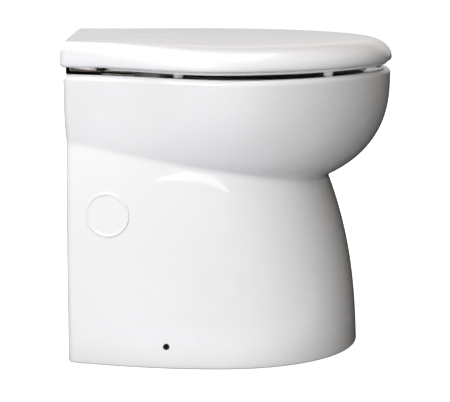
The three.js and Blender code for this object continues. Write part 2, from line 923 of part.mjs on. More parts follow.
function buildSeatAndLid() {
  piece("seat_ring", seatRing(), seatPlastic);
  const places = [
    [seatBufferRearAt, -seatBufferRearSide],
    [seatBufferRearAt, seatBufferRearSide],
    [seatBufferFrontAt, -seatBufferFrontSide],
    [seatBufferFrontAt, seatBufferFrontSide],
  ];
  places.forEach(([x, y], k) => {
    const high = rod("z", bufferRadius, rimHeight + fit, seatUnder - fit, [x, y, 0], COARSE);
    const low = rod("z", bufferRadius, dishBottom, seatUnder - fit, [x, y, 0], COARSE);
    piece(`seat_buffer_${k + 1}`, joined(high, low.intersect(rimDish(fit))), whiteRubber);
  });
  piece("lid", lidShell(), seatPlastic);
  [-1, 1].forEach((side, k) => {
    const centre = [lidBufferAt, side * lidBufferSide, 0];
    const buffer = rod("z", bufferRadius, seatTop + fit, lidCeiling, centre, COARSE);
    piece(`lid_buffer_${k + 1}`, buffer.intersect(lidRoom(fit)), whiteRubber);
  });
}

// Hinges
function edgeSlab(by, low, high, rear, front, side) {
  const loop = outline(inset(rim, by));
  const near = side * hingeSide;
  const far = side * rimHalf;
  return loft([level(loop, low), level(loop, high)]).intersect(
    block([rear, Math.min(near, far), low - overrun], [front, Math.max(near, far), high + overrun]));
}

function hingeBase(side) {
  const middle = side * hingeSide;
  const shape = new THREE.Shape();
  const x = hingeBaseLength / 2 - hingeBaseCorner;
  const y = hingeBaseDepth / 2 - hingeBaseCorner;
  shape.absarc(x, y, hingeBaseCorner, 0, Math.PI / 2);
  shape.absarc(-x, y, hingeBaseCorner, Math.PI / 2, Math.PI);
  shape.absarc(-x, -y, hingeBaseCorner, Math.PI, Math.PI * 1.5);
  shape.absarc(x, -y, hingeBaseCorner, Math.PI * 1.5, Math.PI * 2);
  const plate = new THREE.ExtrudeGeometry(shape, {
    depth: hingeBaseHeight - fit,
    bevelEnabled: false,
    curveSegments: CORNER_STEPS,
  });
  const half = hingeEarWidth / 2;
  const ear = block([axisX - hingeEarHalf, middle - half, rimHeight + fit + hingeBaseHeight / 2],
    [axisX + hingeEarHalf, middle + half, axisZ]);
  const boss = rod("y", knuckleRadius, middle - half, middle + half, [axisX, 0, axisZ], COARSE);
  const bore = rod("y", pinRadius + pinClearance, middle - hingeEarWidth, middle + hingeEarWidth,
    [axisX, 0, axisZ], COARSE);
  const foot = edgeSlab(hingeFootInset, rimHeight + fit, rimHeight + hingeFootHeight,
    hingeBaseAt - hingeBaseLength / 2 + hingeBaseCorner / 2, hingeBaseAt + hingeBaseLength / 2, side);
  return cut(joined(solid(plate.translate(hingeBaseAt, middle, rimHeight + fit)), foot, ear, boss), bore);
}

function knuckle(inner, outer) {
  return ring("y", pinRadius + pinClearance, knuckleRadius, inner, outer, [axisX, 0, axisZ], COARSE);
}

function seatLeaf(side) {
  const near = side * (hingeSide + hingeEarWidth / 2 + knuckleGap);
  const far = near + side * knuckleWidth;
  const low = Math.min(near, far);
  const high = Math.max(near, far);
  const legRear = hingeBaseAt + hingeBaseLength / 2 + knuckleGap;
  const legFront = legRear + hingeLegWidth;
  const foot = rimHeight + seatLeafLift;
  const arm = block([axisX, low, axisZ - hingeArmHeight], [legFront, high, axisZ]);
  const leg = block([legRear, low, foot], [legFront, high, axisZ]);
  const plate = edgeSlab(seatLeafInset, foot, foot + seatLeafThickness, legRear, seatLeafEnd, side);
  const bore = rod("y", pinRadius + pinClearance, low - overrun, high + overrun, [axisX, 0, axisZ], COARSE);
  return cut(joined(knuckle(low, high), arm, leg, plate), bore);
}

function lidLeaf(side) {
  const near = side * (hingeSide - hingeEarWidth / 2 - knuckleGap);
  const far = near - side * knuckleWidth;
  const low = Math.min(near, far);
  const high = Math.max(near, far);
  const top = lidCeiling - fit;
  const plate = block([axisX, low, top - lidLeafThickness], [axisX + lidLeafLength, high, top]);
  const bore = rod("y", pinRadius + pinClearance, low - overrun, high + overrun, [axisX, 0, axisZ], COARSE);
  return cut(joined(knuckle(low, high), plate), bore);
}

function hingePin(side) {
  const reach = hingeEarWidth / 2 + knuckleGap + knuckleWidth + knuckleGap;
  const middle = side * hingeSide;
  const outer = middle + side * reach;
  const pin = rod("y", pinRadius, middle - reach, middle + reach, [axisX, 0, axisZ], COARSE);
  const head = rod("y", pinHeadRadius, Math.min(outer, outer + side * pinHeadWidth),
    Math.max(outer, outer + side * pinHeadWidth), [axisX, 0, axisZ], COARSE);
  return joined(pin, head);
}

function wingNut(side) {
  const middle = side * hingeSide;
  const centre = [hingeBaseAt, middle, 0];
  const seated = deckUnder - fit;
  const top = seated - nutFlangeThickness;
  const bottom = top - nutHeight;
  const wing = block([hingeBaseAt - wingThickness / 2, middle - wingSpan / 2, bottom],
    [hingeBaseAt + wingThickness / 2, middle + wingSpan / 2, top]);
  const flange = rod("z", nutFlangeRadius, top, seated, centre, SMALL);
  const bore = rod("z", studRadius + fit, bottom - overrun, seated + overrun, centre, COARSE);
  return cut(joined(rod("z", nutRadius, bottom, top, centre, COARSE), wing, flange), bore);
}

function buildHinges() {
  [["left", -1], ["right", 1]].forEach(([name, side]) => {
    const bolt = [hingeBaseAt, side * hingeSide, 0];
    piece(`hinge_base_${name}`, hingeBase(side), chrome);
    piece(`hinge_pin_${name}`, hingePin(side), chrome);
    piece(`seat_leaf_${name}`, seatLeaf(side), chrome);
    piece(`lid_leaf_${name}`, lidLeaf(side), chrome);
    piece(`hinge_stud_${name}`, rod("z", studRadius, rimHeight - studLength, rimHeight, bolt, COARSE), steel);
    piece(`wing_nut_${name}`, wingNut(side), whitePlastic);
  });
}

// Pump and motor
const pumpAxis = [0, 0, pumpAxisHeight];

function maceratorHousing() {
  const rear = maceratorFront - maceratorLength;
  const neckTop = spigotEnd - fit;
  const chamber = rod("x", pumpRadius, rear, maceratorFront, pumpAxis, ROUND);
  const neck = rod("z", spigotRadius, pumpAxisHeight, neckTop, [outletAt, 0, 0], FINE);
  const hollow = rod("x", pumpRadius - pumpWall, rear + pumpWall, maceratorFront + overrun, pumpAxis, ROUND);
  const throat = rod("z", neckBore, pumpAxisHeight, neckTop + overrun, [outletAt, 0, 0], FINE);
  return cut(joined(chamber, neck), hollow, throat);
}

function chopperPlate() {
  const from = maceratorFront + fit;
  const to = from + plateThickness;
  const holes = Array.from({ length: plateHoles }, (_, k) => {
    const angle = (2 * Math.PI * k) / plateHoles;
    const centre = [0, plateHoleRing * Math.cos(angle), pumpAxisHeight + plateHoleRing * Math.sin(angle)];
    return rod("x", plateHoleRadius, from - overrun, to + overrun, centre, COARSE);
  });
  const plate = ring("x", plateHoleRadius, pumpRadius, from, to, pumpAxis, ROUND);
  return cut(plate, ...holes);
}

function chopperBlade() {
  const end = bladeAt + bladeThickness;
  const bar = block([bladeAt, -bladeSpan / 2, pumpAxisHeight - bladeWidth / 2],
    [end, bladeSpan / 2, pumpAxisHeight + bladeWidth / 2]);
  return joined(bar, rod("x", bladeHubRadius, bladeAt, end, pumpAxis, COARSE));
}

function impeller() {
  const end = impellerStart + impellerLength;
  const hub = rod("x", bladeHubRadius, impellerStart, end, pumpAxis, COARSE);
  const vanes = Array.from({ length: impellerVanes / 2 }, (_, k) => {
    const flat = k % 2 === 0;
    const wide = flat ? impellerRadius : impellerVaneWall / 2;
    const tall = flat ? impellerVaneWall / 2 : impellerRadius;
    return block([impellerStart, -wide, pumpAxisHeight - tall], [end, wide, pumpAxisHeight + tall]);
  });
  const bore = rod("x", shaftRadius + fit, impellerStart - overrun, end + overrun, pumpAxis, COARSE);
  return cut(joined(hub, ...vanes), bore);
}

function pumpVolute() {
  const casing = rod("x", pumpRadius, pumpFront, voluteEnd, pumpAxis, ROUND);
  const port = rod("y", portRadius, 0, portReach, [portAt, 0, pumpAxisHeight], ROUND);
  const chamber = rod("x", pumpRadius - voluteWall, pumpFront - overrun, voluteEnd - voluteWall,
    pumpAxis, ROUND);
  const portHole = rod("y", portBore, portStart, portReach + overrun, [portAt, 0, pumpAxisHeight], ROUND);
  const sealHole = rod("x", sealRadius + fit, voluteEnd - voluteWall - overrun, voluteEnd + overrun,
    pumpAxis, ROUND);
  return cut(joined(casing, port), chamber, portHole, sealHole);
}

function motorCan() {
  const can = rod("x", motorRadius, motorStart, motorEnd, pumpAxis, ROUND);
  const inside = rod("x", motorRadius - motorWall, motorStart + motorFrontWall, motorEnd + overrun,
    pumpAxis, ROUND);
  const hole = rod("x", bearingRadius + fit, motorStart - overrun, motorEnd, pumpAxis, ROUND);
  return cut(can, inside, hole);
}

function motorMagnet(side) {
  const from = motorStart + motorFrontWall + magnetMargin;
  const to = motorEnd - endCapLength;
  const cylinder = ring("x", magnetRadius, motorRadius - motorWall - fit, from, to, pumpAxis, ROUND);
  const near = pumpAxisHeight + side * magnetDrop;
  const far = pumpAxisHeight + side * motorRadius;
  return cylinder.intersect(block([from - overrun, -motorRadius, Math.min(near, far)],
    [to + overrun, motorRadius, Math.max(near, far)]));
}

function motorArmature() {
  const end = armatureStart + armatureLength;
  const core = rod("x", armatureRadius, armatureStart, end, pumpAxis, ROUND);
  const winding = rod("x", windingRadius, armatureStart - windingLength, end + windingLength,
    pumpAxis, ROUND);
  const slots = Array.from({ length: armatureSlots }, (_, k) => {
    const slot = new THREE.BoxGeometry(armatureLength + 2 * overrun, armatureSlotWidth, armatureSlotDepth);
    slot.translate(armatureStart + armatureLength / 2, 0, armatureRadius + fit - armatureSlotDepth / 2);
    return solid(slot.rotateX((2 * Math.PI * k) / armatureSlots).translate(...pumpAxis));
  });
  const bore = rod("x", shaftRadius + fit, armatureStart - armatureLength, end + armatureLength,
    pumpAxis, COARSE);
  return cut(joined(cut(core, ...slots), winding), bore);
}

function motorEndCap() {
  const from = motorEnd + fit;
  const cap = rod("x", motorRadius, from, from + endCapLength, pumpAxis, ROUND);
  const relief = rod("x", motorRadius - endCapRim, from - overrun, from + endCapLength / 2, pumpAxis, ROUND);
  const bossOuter = bearingRadius + fit + bearingBoss;
  const boss = rod("x", bossOuter, from - bearingWidth, from + endCapLength, pumpAxis, ROUND);
  const pocket = rod("x", bearingRadius + fit, from - bearingWidth - overrun, from + fit, pumpAxis, ROUND);
  return cut(joined(cut(cap, relief), boss), pocket);
}

function buildPump() {
  const inner = shaftRadius + slide;
  const bearing = (from) => ring("x", inner, bearingRadius, from, from + bearingWidth, pumpAxis, SMALL);
  piece("macerator_housing", maceratorHousing(), blackPlastic);
  piece("chopper_plate", chopperPlate(), steel);
  piece("chopper_blade", chopperBlade(), steel);
  piece("impeller", impeller(), greyPlastic);
  piece("pump_volute", pumpVolute(), blackPlastic);
  const sealEnd = voluteEnd - fit;
  const seal = ring("x", inner, sealRadius, sealEnd - sealWidth, sealEnd, pumpAxis, SMALL);
  piece("shaft_seal", seal, blackRubber);
  piece("pump_shaft", rod("x", shaftRadius, shaftStart, shaftEnd, pumpAxis, COARSE), steel);
  piece("motor_can", motorCan(), motorPaint);
  piece("front_bearing", bearing(motorStart + fit), steel);
  piece("motor_magnet_upper", motorMagnet(1), magnetGrey);
  piece("motor_magnet_lower", motorMagnet(-1), magnetGrey);
  piece("motor_armature", motorArmature(), copper);
  piece("rear_bearing", bearing(motorEnd - bearingWidth), steel);
  piece("motor_end_cap", motorEndCap(), blackPlastic);
}

// Sleeve that joins the bowl to the pump, with its two clamps
function sleeveClamp(middle) {
  const outer = spigotRadius + fit + sleeveWall + fit;
  const band = ring("z", outer, outer + clampWall, middle - clampWidth / 2, middle + clampWidth / 2,
    [outletAt, 0, 0], FINE);
  const screw = block([outletAt - outer - clampScrewDepth, -clampScrewLength / 2, middle - clampWidth / 2],
    [outletAt - outer - fit, clampScrewLength / 2, middle + clampWidth / 2]);
  return joined(band, screw);
}

function buildSleeve() {
  const inner = spigotRadius + fit;
  const from = spigotEnd - sleeveLength / 2;
  const to = spigotEnd + sleeveLength / 2;
  const inset = clampInset + clampWidth / 2;
  piece("outlet_sleeve", ring("z", inner, inner + sleeveWall, from, to, [outletAt, 0, 0], FINE), blackRubber);
  piece("sleeve_clamp_upper", sleeveClamp(to - inset), steel);
  piece("sleeve_clamp_lower", sleeveClamp(from + inset), steel);
}

// Stand under the motor
function motorSaddle() {
  const end = saddleStart + saddleLength;
  const inner = motorRadius + fit;
  const outer = inner + saddleWall;
  const bottom = footHeight + fit;
  const cradle = ring("x", inner, outer, saddleStart, end, pumpAxis, ROUND)
    .intersect(block([saddleStart, -outer, bottom], [end, outer, saddleTop]));
  const plate = block([saddleStart, -saddleHalf, bottom], [end, saddleHalf, bottom + saddleWall]);
  const webs = [-1, 1].map((side) => block(
    [saddleStart, side * saddleWebAt - saddleWall / 2, bottom],
    [end, side * saddleWebAt + saddleWall / 2, saddleTop],
  ));
  const clear = rod("x", inner + saddleWall / 2, saddleStart - overrun, end + overrun, pumpAxis, ROUND);
  return joined(cradle, cut(joined(plate, ...webs), clear));
}

function buildStand() {
  piece("motor_saddle", motorSaddle(), steel);
  [["left", -1], ["right", 1]].forEach(([name, side]) => {
    piece(`rubber_foot_${name}`, block([saddleStart, side * footAt - footWidth / 2, 0],
      [saddleStart + saddleLength, side * footAt + footWidth / 2, footHeight]), blackRubber);
  });
}

// Discharge: elbow, joker valve and the tail that takes the waste hose
function dischargeElbow() {
  const start = portReach + fit;
  const bend = elbowBend - elbowLead;
  const points = [[portAt, start]];
  for (let k = 0; k <= ELBOW_STEPS; k++) {
    const turn = (Math.PI / 2) * (k / ELBOW_STEPS);
    points.push([portAt - bend * (1 - Math.cos(turn)), start + elbowLead + bend * Math.sin(turn)]);
  }
  points.push([pipeStart + elbowLead, start + elbowBend], [pipeStart, start + elbowBend]);
  const route = points.map(([x, y]) => [x, y, pumpAxisHeight]);
  return tube(route, portRadius, portBore, SMALL, ELBOW_STEPS * 2);
}

const pipeAxis = [0, pipeSide + fit, pumpAxisHeight];

function bill(radius, tip, end) {
  const from = pipeStart - fit;
  const loops = [[from, radius, radius], [from - end, radius, tip]];
  return loft(loops.map(([x, wide, tall]) => Array.from({ length: COARSE }, (_, k) => {
    const angle = (2 * Math.PI * k) / COARSE;
    return [x, pipeAxis[1] + wide * Math.cos(angle), pumpAxisHeight + tall * Math.sin(angle)];
  })));
}

function jokerValve() {
  const from = pipeStart - fit;
  const flange = rod("x", portRadius, from - jokerFlange, from, pipeAxis, ROUND);
  const throat = bill(jokerRadius - jokerTip / 2, jokerTip / 2, jokerLength - jokerTip);
  const mouth = rod("x", jokerRadius - jokerTip / 2, from - fit, from + overrun, pipeAxis, COARSE);
  return cut(joined(flange, bill(jokerRadius, jokerTip, jokerLength)), throat, mouth);
}

function hoseTail() {
  const start = pipeStart - jokerFlange - 2 * fit;
  const profile = [
    [portBore, start],
    [portBore, tailEnd],
  ];
  for (let k = 0; k < barbCount; k++) {
    const at = tailEnd + barbLength * k;
    profile.push([tailRadius, at], [barbRadius, at + barbLength]);
  }
  const barbsEnd = tailEnd + barbLength * barbCount;
  profile.push([tailRadius, barbsEnd], [tailRadius, start - tailCollarLength]);
  profile.push([tailCollarRadius, start - tailCollarLength], [tailCollarRadius, start]);
  return turned(profile, "x", pipeAxis, ROUND);
}

function buildDischarge() {
  piece("discharge_elbow", dischargeElbow(), blackPlastic);
  piece("joker_valve", jokerValve(), blackRubber);
  piece("hose_tail", hoseTail(), blackPlastic);
}

// Flush water: valve on its bracket, hose and rim spud
const valveAxis = [valveAt, -valveSide, 0];
const stubAxis = [outletStubAt, -valveSide, 0];
const valveTop = valveBottom + valveHeight;
const bracketFace = skirtInnerRear + fit + bracketThickness;

function valveBody() {
  const rear = bracketFace + fit;
  const box = block([rear, -valveSide - valveDepth / 2, valveBottom],
    [rear + valveLength, -valveSide + valveDepth / 2, valveTop]);
  const inlet = rod("z", barbStubRadius, valveBottom - inletLength, valveBottom + fit, valveAxis, COARSE);
  const outlet = rod("z", barbStubRadius, valveTop - fit, valveTop + outletStubLength, stubAxis, COARSE);
  const stem = rod("z", stemRadius, valveTop - fit, valveTop + stemHeight, valveAxis, ROUND);
  const orifice = rod("z", valveOrifice, valveBottom - inletLength - overrun, valveSeatHeight + fit,
    valveAxis, COARSE);
  const shaftway = rod("z", stemBore, valveSeatHeight, valveTop + stemHeight - stemCap, valveAxis, ROUND);
  const passage = rod("x", passageRadius, outletStubAt, valveAt, [0, -valveSide, passageHeight], COARSE);
  const rise = rod("z", barbStubBore, passageHeight - passageRadius, valveTop + outletStubLength + overrun,
    stubAxis, COARSE);
  return cut(joined(box, inlet, outlet, stem), orifice, shaftway, passage, rise);
}

function valveCoil() {
  const from = valveTop + coilLift;
  const terminal = block([valveAt + coilRadius - 2 * fit, -valveSide - terminalHalf, from + terminalHalf],
    [valveAt + coilRadius + terminalLength, -valveSide + terminalHalf, from + terminalHalf + terminalHeight]);
  const winding = rod("z", coilRadius, from, from + coilHeight, valveAxis, ROUND);
  const hole = rod("z", stemRadius + fit, from - overrun, from + coilHeight + overrun, valveAxis, ROUND);
  return cut(joined(winding, terminal), hole);
}

function valveSpring() {
  const low = valveSeatHeight + fit + plungerLength + fit + springWire;
  const high = valveTop + stemHeight - stemCap - fit - springWire;
  const points = [];
  const count = springTurns * SPRING_STEPS;
  for (let k = 0; k <= count; k++) {
    const angle = (2 * Math.PI * k) / SPRING_STEPS;
    points.push([valveAt + springRadius * Math.cos(angle), springRadius * Math.sin(angle) - valveSide,
      low + ((high - low) * k) / count]);
  }
  return tube(points, springWire, 0, SPRING_SIDES, count);
}

function flushHose() {
  const start = valveTop + outletStubLength;
  const end = spudHeight - spudRadius;
  const inner = (barbStubRadius + fit) / Math.cos(Math.PI / HOSE_SIDES);
  const route = [
    [outletStubAt, -valveSide, start - hoseOverlap],
    [outletStubAt, -valveSide, start - hoseOverlap / 2],
    [outletStubAt, -valveSide, start + hoseStraight],
    ...hoseRoute,
    [spudTurnAt, 0, end - spudDrop],
    [spudTurnAt, 0, end - hoseLap],
    [spudTurnAt, 0, end - hoseStraight],
  ];
  return tube(route, inner + hoseWall, inner, HOSE_SIDES, HOSE_STEPS);
}

function rimSpud() {
  const basinRear = openingRear - lipRim;
  const outerFace = basinRear - basinWall - fit;
  const innerFace = basinRear + spudPlay + fit;
  const spud = rod("x", spudRadius, spudTurnAt - barbStubRadius, innerFace + spudFlangeLength,
    [0, 0, spudHeight], COARSE);
  const inside = rod("x", spudFlange, innerFace, innerFace + spudFlangeLength, [0, 0, spudHeight], ROUND);
  const outside = rod("x", spudFlange, outerFace - spudFlangeLength, outerFace, [0, 0, spudHeight], ROUND);
  const barb = rod("z", barbStubRadius, spudHeight - spudDrop, spudHeight, [spudTurnAt, 0, 0], COARSE);
  const way = rod("x", spudBore, spudTurnAt, innerFace + spudFlangeLength + overrun,
    [0, 0, spudHeight], COARSE);
  const drop = rod("z", barbStubBore, spudHeight - spudDrop - overrun, spudHeight,
    [spudTurnAt, 0, 0], COARSE);
  return cut(joined(spud, inside, outside, barb), way, drop);
}

function buildFlush() {
  piece("valve_bracket", block([skirtInnerRear + fit, -bracketOuter, bracketBottom],
    [bracketFace, -bracketInner, bracketTop]), steel);
  piece("valve_body", valveBody(), blackPlastic);
  piece("valve_coil", valveCoil(), blackPlastic);
  const seated = valveSeatHeight + fit;
  piece("valve_plunger", rod("z", plungerRadius, seated, seated + plungerLength, valveAxis, COARSE), steel);
  piece("valve_spring", valveSpring(), steel);
  piece("flush_hose", flushHose(), blackRubber);
  piece("rim_spud", rimSpud(), brass);
}

// Control box
const boxRear = skirtInnerRear + fit;
const boxInnerSide = boxOuterSide - boxDepth;
const leadSide = boxOuterSide - leadInset;

function controlBox() {
  const shell = block([boxRear, boxInnerSide, boxBottom],
    [boxRear + boxLength, boxOuterSide, boxBottom + boxHeight]);
  const room = block([boxRear + boxWall, boxInnerSide - overrun, boxBottom + boxWall],
    [boxRear + boxLength - boxWall, boxOuterSide - boxWall, boxBottom + boxHeight - boxWall]);
  return cut(shell, room);
}

function circuitBoard() {
  const low = [boxRear + boxMargin(), boxOuterSide - boxWall - boardStandoff, boxBottom + boxMargin()];
  const high = [
    boxRear + boxLength - boxMargin(),
    low[1] + boardThickness,
    boxBottom + boxHeight - boxMargin(),
  ];
  const board = block(low, high);
  const middle = (low[0] + high[0]) / 2;
  const relay = block([middle - relayLength / 2, low[1] - relayDepth, low[2] + boardMargin],
    [middle + relayLength / 2, low[1] + boardThickness / 2, low[2] + boardMargin + relayLength]);
  const posts = [low[2] + boardMargin, high[2] - boardMargin].map((z) =>
    rod("y", boardThickness, low[1], boxOuterSide - boxWall - fit, [middle, 0, z], COARSE));
  return joined(board, relay, ...posts);
}

function boxMargin() {
  return boxWall + boardMargin;
}

function cableGland() {
  const centre = [glandAt, boxOuterSide - glandInset, 0];
  const top = boxBottom - fit;
  return ring("z", glandBore, glandRadius, top - glandLength, top, centre, glandFlats);
}

function motorLead() {
  const capMiddle = motorEnd + fit + endCapLength / 2;
  const route = [
    [leadAt, leadSide, boxBottom - fit],
    [leadAt, leadSide, boxBottom - leadDrop],
    ...leadRoute,
    ...leadRise.map(([before, side, height]) => [capMiddle - before, side, height]),
    [capMiddle, motorRadius + leadLanding, pumpAxisHeight],
    [capMiddle, motorRadius + fit, pumpAxisHeight],
  ];
  return tube(route, leadRadius, 0, LEAD_SIDES, LEAD_STEPS);
}

function buildElectrics() {
  piece("control_box", controlBox(), greyPlastic);
  piece("control_box_cover", block([boxRear, boxInnerSide - fit - boxCoverThickness, boxBottom],
    [boxRear + boxLength, boxInnerSide - fit, boxBottom + boxHeight]), greyPlastic);
  piece("circuit_board", circuitBoard(), boardGreen);
  piece("cable_gland", cableGland(), blackPlastic);
  piece("motor_lead", motorLead(), blackRubber);
}

// Floor brackets behind the fixing holes
function floorBracket() {
  const half = floorBracketWidth / 2;
  const wall = floorBracketThickness;
  const leg = block([-half, -wall, 0], [half, 0, floorBracketHeight]);
  const foot = block([-half, -floorBracketFoot, 0], [half, 0, wall]);
  const hole = rod("y", fixingHoleRadius, -wall - overrun, overrun, [0, 0, fixingHoleHeight], COARSE);
  const screwHole = rod("z", fixingHoleRadius, -overrun, wall + overrun,
    [0, -floorBracketFoot / 2, 0], COARSE);
  return cut(joined(leg, foot), hole, screwHole);
}

function buildFloorBrackets() {
  const half = floorBracketWidth / 2;
  const plan = inset(skirtPlan(floorBracketHeight / creaseHeight(fixingHoleAt)), ceramicWall);
  const ends = [-half, half].map((step) => halfWidth(plan, fixingHoleAt + step));
  const slope = Math.atan2(ends[1] - ends[0], floorBracketWidth);
  const middle = Math.min(halfWidth(plan, fixingHoleAt), (ends[0] + ends[1]) / 2) - 2 * fit;
  [["left", -1], ["right", 1]].forEach(([name, side]) => {
    const mesh = piece(`floor_bracket_${name}`, floorBracket(), steel);
    mesh.scale.y = side;
    mesh.rotation.z = side * slope;
    mesh.position.set(fixingHoleAt, side * middle, 0);
  });
}

buildChina();
buildSeatAndLid();
buildHinges();
buildPump();
buildSleeve();
buildStand();
buildDischarge();
buildFlush();
buildElectrics();
buildFloorBrackets();

export default part;
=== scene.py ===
import json
import math

import bmesh
import bpy
import numpy as np
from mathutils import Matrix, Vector


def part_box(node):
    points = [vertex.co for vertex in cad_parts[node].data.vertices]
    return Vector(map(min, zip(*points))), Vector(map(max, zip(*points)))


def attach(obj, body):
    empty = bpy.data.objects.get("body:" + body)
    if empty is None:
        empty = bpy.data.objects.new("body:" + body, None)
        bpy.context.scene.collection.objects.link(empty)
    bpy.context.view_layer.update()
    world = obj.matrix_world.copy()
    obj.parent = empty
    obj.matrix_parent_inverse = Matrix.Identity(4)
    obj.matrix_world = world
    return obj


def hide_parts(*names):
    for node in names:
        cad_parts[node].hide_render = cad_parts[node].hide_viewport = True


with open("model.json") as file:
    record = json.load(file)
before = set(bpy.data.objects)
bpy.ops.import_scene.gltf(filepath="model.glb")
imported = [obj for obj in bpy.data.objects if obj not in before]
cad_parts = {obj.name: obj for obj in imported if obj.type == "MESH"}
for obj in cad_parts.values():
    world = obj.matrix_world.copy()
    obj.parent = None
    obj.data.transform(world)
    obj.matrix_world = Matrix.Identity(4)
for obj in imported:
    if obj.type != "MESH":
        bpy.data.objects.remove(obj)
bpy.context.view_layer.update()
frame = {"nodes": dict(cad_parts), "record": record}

# Driving sizes of the china, the same as the frame's
RIM_HEIGHT = 0.3984
SHOULDER_HEIGHT = 0.385
CREASE_NOSE_HEIGHT = 0.247
CREASE_REAR_HEIGHT = 0.305
RIM_EDGE = 0.008
CHINA_WALL = 0.012
DECK_UNDER = 0.385
DISH_DEPTH = 0.004
DISH_SLOPE = 0.010
DISH_START = -0.170
DISH_FADE = 0.020
FOOT_EDGE = 0.0025
SKIRT_DRAFT_SHARE = 0.21
SKIRT_POWER = 2.6
BOWL_POWER = 2.5
BOWL_ROUNDNESS = 1.08
REAR_STEP_SHARE = 0.35
CORNER = 0.012
LEAST_CORNER = 0.003

RIM = dict(rear=-0.227, rear_half=0.1135, half=0.184, widest=0.019, nose=0.230, power=1.66, ease=0.8)
CREASE = dict(rear=-0.225, rear_half=0.108, half=0.152, widest=-0.015, nose=0.1413, power=2.05, ease=0.4)
BASE = dict(rear=-0.225, rear_half=0.138, half=0.1695, widest=-0.014, nose=0.1865, power=2.1, ease=0.07)
COVER = dict(rear=-0.231, rear_half=0.1155, half=0.185, widest=-0.011, nose=0.231, power=1.83, ease=1.0)

OPENING = dict(rear=-0.105, nose=0.190, half=0.124, at=0.0425, power=2.15)
LIP_WALL = 0.008
LIP_HEIGHT = 0.0364
MOUTH_EDGE = 0.006
FLUSH_CHANNEL = 0.012
BASIN_DEPTH = 0.198
BASIN_WALL = 0.012
BASIN_POWER = 1.6
OUTLET_AT = -0.041
OUTLET_BORE = 0.027
SPIGOT_RADIUS = 0.034
SPIGOT_END = 0.150
ROOM_BELOW = 0.003
BOSS_ABOVE = 0.01

ARCH_HALF = 0.100
ARCH_HEIGHT = 0.250
ARCH_CORNER = 0.060
ARCH_FLARE = 0.003
ARCH_FLARE_SHARE = 0.3
ARCH_BEHIND = 0.01
ARCH_REACH = 0.02
ARCH_BELOW = 0.02
FIXING_AT = -0.0875
FIXING_HEIGHT = 0.031
FIXING_RADIUS = 0.0045
FIXING_FLARE = 0.0006
FIXING_OUTSIDE = 0.01
# The black plug in each fixing hole is painted shade: a dark piece that makes the hole read black.
FIXING_INSIDE = 0.03
SHADE_PLUG_DEEP = 0.0007
SHADE_PLUG_LENGTH = 0.0110
SHADE_PLUG_PLAY = 0.0001
SHADE_PLUG_BORE = 0.0025
SHADE_PLUG_FLARE = 0.0005
SHADE_PLUG_POCKET = 0.0080
MEDALLION_AT = -0.168
MEDALLION_HEIGHT = 0.210
MEDALLION_RADIUS = 0.031
MEDALLION_RISE = 0.0018
MEDALLION_RIM = 0.0050
MEDALLION_FACE = 0.45
MEDALLION_ROOT = -0.7
MEDALLION_STEPS = 14

# Sizes of the lid and seat
LID_FOOT = 0.4086
LID_WAIST = 0.4129
LID_TOP = 0.442
LID_CROWN = 0.0015
LID_FOOT_INSET = 0.0046
LID_ROUND_NOSE = 0.038
LID_ROUND_SIDE = 0.050
LID_ROUND_CORNER = 0.006
LID_ROUND_REAR = 0.0075
LID_REAR_RISE = 0.0026
LID_SIDE_WALL = 0.0093
LID_WALL = 0.004
LID_ROOM_ROUND = 0.031
LID_ROOM_NOSE = 0.029
SEAT_UNDER = 0.4047
SEAT_TOP = 0.4227
SEAT_FLANGE = 0.0035
SEAT_INSET = 0.0064
SEAT_BODY_INSET = 0.012
SEAT_REAR = -0.168
SEAT_CORNER = 0.020
SEAT_EDGE = 0.006
SEAT_DISH = 0.004
SEAT_OPENING = dict(rear=-0.100, nose=0.180, half=0.112, at=0.040, power=2.1)
SEAT_FOOT = 0.0015
SEAT_FLANGE_EDGE = 0.001
SEAT_FOOT_STEPS = 5
SEAT_FLANGE_STEPS = 4
SEAT_EDGE_STEPS = 8
LID_CROWN_STEPS = 12
LID_ROUND_STEPS = 26
LID_FOOT_STEPS = 8
LID_ROOM_STEPS = 10
LID_REAR_EXTRA = 0.001

# Hinges, as the lid's cuts follow them
HINGE_SIDE = 0.0775
NOTCH_REACH = 0.029
NOTCH_FRONT = -0.2175
NOTCH_TOP = 0.4209
SLOT_REACH = 0.003
SLOT_FRONT = -0.208
SLOT_TOP = 0.450
CUT_REAR = -0.24
CUT_LOW = 0.40

# Counts of points and rings, and how finely a skin is made
REAR_POINTS = 12
CORNER_POINTS = 8
FLANK_POINTS = 84
SMOOTHING = 0.014
BELL_REACH = 3
DENSE = 600
WELD = 1e-6
ROUND_SIDES = 96
HOLE_SIDES = 40
FOOT_STEPS = 5
SKIRT_STEPS = 44
CREASE_STEPS = 8
CREASE_SHARE = 0.02
BOWL_STEPS = 44
RIM_STEPS = 10
DISH_RINGS = 18
MOUTH_STEPS = 7
LIP_STEPS = 6
BASIN_STEPS = 26
BASIN_OUTER_STEPS = 16
ROOM_STEPS = 14
ARCH_STEPS = 12

# Angles, in degrees, above which an edge stays sharp
CHINA_ANGLE = 40
MEDALLION_ANGLE = 60
SEAT_ANGLE = 50
LID_ANGLE = 40
DRESS_ANGLE = 35


# Outlines seen from above
def mixed(low, high, share):
    return {key: low[key] + (high[key] - low[key]) * share for key in low}


def inset(plan, side, rear=None, nose=None, corner=None):
    rear = side if rear is None else rear
    nose = side if nose is None else nose
    corner = side if corner is None else corner
    new = dict(plan)
    new["rear"] = plan["rear"] + rear
    new["rear_half"] = plan["rear_half"] - corner
    new["half"] = plan["half"] - side
    new["nose"] = plan["nose"] - nose
    new["corner"] = max(plan.get("corner", CORNER) - rear, LEAST_CORNER)
    return new


def half_width(plan, x, start):
    share = np.clip((x - start) / (plan["widest"] - start), 0, 1)
    swing = (1 - np.cos(np.pi * share)) / 2
    bulge = 1 - (1 - share) ** 2
    grow = plan["ease"] * swing + (1 - plan["ease"]) * bulge
    return plan["rear_half"] + (plan["half"] - plan["rear_half"]) * grow


